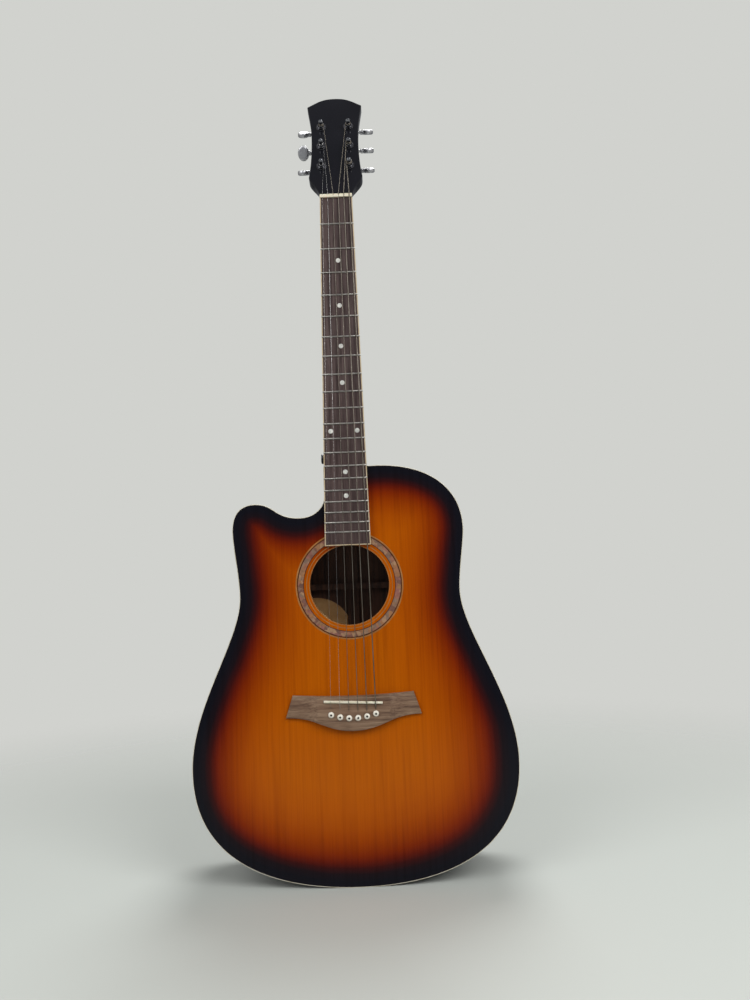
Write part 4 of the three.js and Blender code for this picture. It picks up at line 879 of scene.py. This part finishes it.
def circle_row(radius, level):
    return [Vector((radius * c, radius * s, level)) for c, s in spokes(ferrule_points)]

def hexagon_row(across, level):
    row = []
    for i in range(ferrule_points):
        turn = i / ferrule_points * math.tau
        corner = (turn % (math.pi / 3)) - math.pi / 6
        radius = across / math.cos(corner)
        row.append(Vector((radius * math.cos(turn), radius * math.sin(turn), level)))
    return row


def rounded_row(half_x, low, high, corner, level, shrink):
    """A rectangle with round corners, seven points to a corner."""
    row = []
    radius = max(corner - shrink, 0.2)
    for centre_x, centre_y, start in (
        (half_x - corner, high - corner, 0), (corner - half_x, high - corner, 90),
        (corner - half_x, low + corner, 180), (half_x - corner, low + corner, 270),
    ):
        for turn in (math.radians(start + i * 15) for i in range(7)):
            row.append(Vector((centre_x + radius * math.cos(turn), centre_y + radius * math.sin(turn),
                               level)))
    return row


def oval_row(half_x, half_y, shrink, level, centre_x):
    return [Vector((centre_x + (half_x - shrink) * c, (half_y - shrink) * s, level)) for c, s in spokes(56)]


def crossing_of(i):
    """Where string i crosses the nut."""
    return Vector((nut_half_spread * string_sides[i], nut_crossing - string_widths[i] / 2, ledge))


def coil_of(i):
    """Where string i meets its post: the wound points in the headstock's own directions."""
    x, rise = tuners[i]
    side = math.copysign(1, x)
    radius = string_widths[i] / 2
    wrap = post_waist + radius
    start = head_frame.inverted() @ crossing_of(i)
    to_nut = math.atan2(start.y - rise, start.x - x)
    first = to_nut - side * math.acos(wrap / math.hypot(start.y - rise, start.x - x))
    points = []
    for k in range(round(wrap_turns[i] * wrap_steps) + 1):
        turn = first - side * k / wrap_steps * math.tau
        level = hex_top + wrap_start + radius + (string_widths[i] + wrap_gap) * k / wrap_steps
        points.append(Vector((x + wrap * math.cos(turn), rise + wrap * math.sin(turn), level)))
    return points


chrome = mottled_finish("polished_chrome", (150, 152, 156), 0.14, 90, (130, 132, 136), (164, 166, 170),
                        (500, 0.12, 0.26), detail=6, Metallic=1.0)
bright_chrome = mottled_finish("bright_chrome", (200, 200, 202), 0.4, 90, (186, 186, 188), (212, 212, 214),
                               (500, 0.34, 0.5), detail=6, Metallic=1.0)
for i, (x, rise) in enumerate(tuners):
    number = i + 1
    spot = to_metres @ head_frame @ Matrix.Translation((x, rise, 0))
    work = bmesh.new()
    turned(work, [(0, -11), (4.6, -11), (4.6, 0.02), (6.7, 0.02), (7.0, 0.3), (7.0, 0.72), (6.75, 0.98),
                  (4.4, 1.0), (4.4, 0.9), (0, 0.9)], steps=48)
    loft(work, [circle_row(3.15, 0.95), circle_row(3.15, 2.7), circle_row(3.5, hex_top),
                circle_row(4.7, hex_top), hexagon_row(hex_half - 0.05, hex_top - 0.35),
                hexagon_row(hex_half, hex_top - 0.6), hexagon_row(hex_half, hex_low - 0.05)])
    make_piece(work, f"tuner_ferrule_{number}", [dark_chrome], "guitar",
               [f"tuner_bushing_{number}"], place=spot, crease=28)

    coil_top = coil_of(i)[-1].z
    work = bmesh.new()
    turned(work, [(0, 10.75), (1.5, 10.75), (1.9, 11), (2.5, 11), (3.0, 10.5), (3.0, coil_top + 1.3),
                  (2.62, coil_top + 0.9), (2.6, 3.9), (3.0, 3.4), (3.0, -14), (6.2, -18.8), (6.2, -22.8),
                  (3, -22.8), (3, -24.5), (0, -24.5)])
    make_piece(work, f"string_post_{number}", [chrome], f"post_{number}", [f"tuner_post_{number}"],
               place=spot)

    work = bmesh.new()
    loft(work, [rounded_row(8.5, -8.2, 15.4, 3, level, shrink) for level, shrink in (
        (-15.2, 0), (-24.4, 0), (-25.2, 0.35), (-25.6, 1.2))], capped=True)
    turned(work, [(0, -26.1), (1.6, -26.1), (1.9, -26.3), (3.4, -26.3), (3.9, -26.0), (4.1, -25.4),
                  (0, -25.4)], steps=32)
    loft(work, [rounded_row(3.0, -13.6, -6.0, 2.9, level, shrink) for level, shrink in (
        (-15.2, 0), (-16.8, 0), (-17.1, 0.35))], capped=True)
    turned(work, [(0, -17.7), (0.5, -17.7), (0.7, -18.0), (1.4, -17.9), (2.0, -17.5), (2.1, -17.0),
                  (0, -17.0)], steps=24, centre=(0, -10.6, 0))
    make_piece(work, f"gear_case_{number}", [chrome], "guitar", [f"tuner_case_{number}"],
               place=spot, crease=30)

    work = bmesh.new()
    turned(work, [(0, -8.5), (1.9, -8.5), (1.9, -5.5), (2.6, -5), (2.3, -3), (3.3, -2), (2.3, 0), (3.3, 1.6),
                  (2.3, 3.6), (2.6, 5), (1.9, 5.5), (1.9, 15.6), (2.6, 16.3), (3.2, 16.7), (3.2, 17.4),
                  (2.7, 17.9), (3.1, 18.4), (3.2, 19.4), (0, 19.4)], (1, 0, 0), steps=32)
    loft(work, [oval_row(7.8, 10, shrink, level, 26.7) for shrink, level in (
        (3.4, -3.25), (1.9, -3.15), (0.8, -2.75), (0.2, -2.0), (0, -1.0), (0, 1.0), (0.2, 2.0), (0.8, 2.75),
        (1.9, 3.15), (3.4, 3.25))], capped=True)
    turn_round = Matrix.Rotation(math.pi if x < 0 else 0, 4, "Z")
    bmesh.ops.transform(work, verts=work.verts[:], matrix=(
        Matrix.Translation((0, worm_rise, gear_level)) @ Matrix.Rotation(button_turns[i], 4, "X")
        @ turn_round))
    make_piece(work, f"tuner_knob_{number}", [bright_chrome], f"button_{number}",
               [f"tuner_button_{number}"], place=spot)

# Strings: two plain steel wires and four wound with bronze. Each comes up beside its pin from its ball
# end, crosses the saddle and the nut, and is wound round its post.
plain_wire = mottled_finish("plain_steel_wire", (136, 134, 132), 0.3, 200, (140, 138, 136), (176, 174, 172),
                            (300, 0.18, 0.34), Metallic=1.0)
winding_pitch = 0.5
wound_wire = new_finish("bronze_wound_wire", tone(138, 128, 114), 0.35, Metallic=1.0)
tree = wound_wire.node_tree
run = node(tree, "ShaderNodeAttribute", attribute_name="run")
pitch = node(tree, "ShaderNodeMath", {0: run.outputs["Fac"], 1: math.tau / winding_pitch},
             operation="MULTIPLY")
winding = node(tree, "ShaderNodeMath", {0: pitch.outputs[0]}, operation="SINE")
# The colour is painted darker in the grooves between the wraps, a painted shade; the same wave raises the
# wraps in the bump.
coloured(wound_wire, multiplied(wound_wire, ramp(wound_wire, speckle(wound_wire, 40, detail=5), [
    (0.3, tone(116, 110, 100)), (0.7, tone(146, 140, 130))]),
    ramp(wound_wire, winding.outputs[0], [(0.0, (0.7, 0.68, 0.66, 1)), (0.8, (1, 1, 1, 1))])))
roughened(wound_wire, speckle(wound_wire, 300), 0.3, 0.48)
raised(wound_wire, winding.outputs[0], 0.3, 0.00008)


def wire_rows(points, radii):
    """Rings of a wire that follows points without twisting."""
    rows = []
    across = None
    for i, point in enumerate(points):
        heading = (points[min(i + 1, len(points) - 1)] - points[max(i - 1, 0)]).normalized()
        if across is None:
            across = heading.orthogonal()
        across = (across - heading * across.dot(heading)).normalized()
        other = heading.cross(across)
        rows.append([point + (across * c + other * s) * radii[i] for c, s in spokes(10)])
    return rows


plain_strings = 2
ball_radius, ball_neck, ball_depth, plate_back = 1.9, 1.4, 9.3, 6.3
string_shift, hole_mouth, ball_shift, string_gap = 1.5, -5.5, 4.6, 0.3
for i, (x, z) in enumerate(pin_places):
    radius = string_widths[i] / 2
    ball_level = z + ball_shift
    saddle_at = saddle_level - saddle_rise * x / (saddle_length / 2)
    points = [Vector((x, depth, level)) for depth, level in (
        (ball_depth + 2.8, ball_level), (ball_depth + 2.3, ball_level), (ball_depth + 0.5, ball_level),
        (ball_depth, ball_level), (ball_depth - 0.95, ball_level - 0.3),
        (plate_back + radius + string_gap, z + string_shift), (hole_mouth, z + string_shift),
        (-saddle_top - string_gap - radius, saddle_at))]
    points += [crossing_of(i)] + [head_frame @ point for point in coil_of(i)]
    radii = [ball_neck, ball_radius, ball_radius, ball_neck] + [radius] * (len(points) - 4)
    work = bmesh.new()
    loft(work, wire_rows(points, radii), capped=True)
    plain = i < plain_strings
    wire = make_piece(work, f"wire_{i + 1}", [plain_wire if plain else wound_wire], "guitar",
                      [f"string_{i + 1}"], crease=60)
    lengths = [0.0]
    for a, b in zip(points, points[1:]):
        lengths.append(lengths[-1] + (b - a).length)
    nearest = finder([to_metres @ point for point in points])
    runs = wire.data.attributes.new("run", "FLOAT", "POINT")
    for vert in wire.data.vertices:
        runs.data[vert.index].value = lengths[nearest.find(vert.co)[1]]
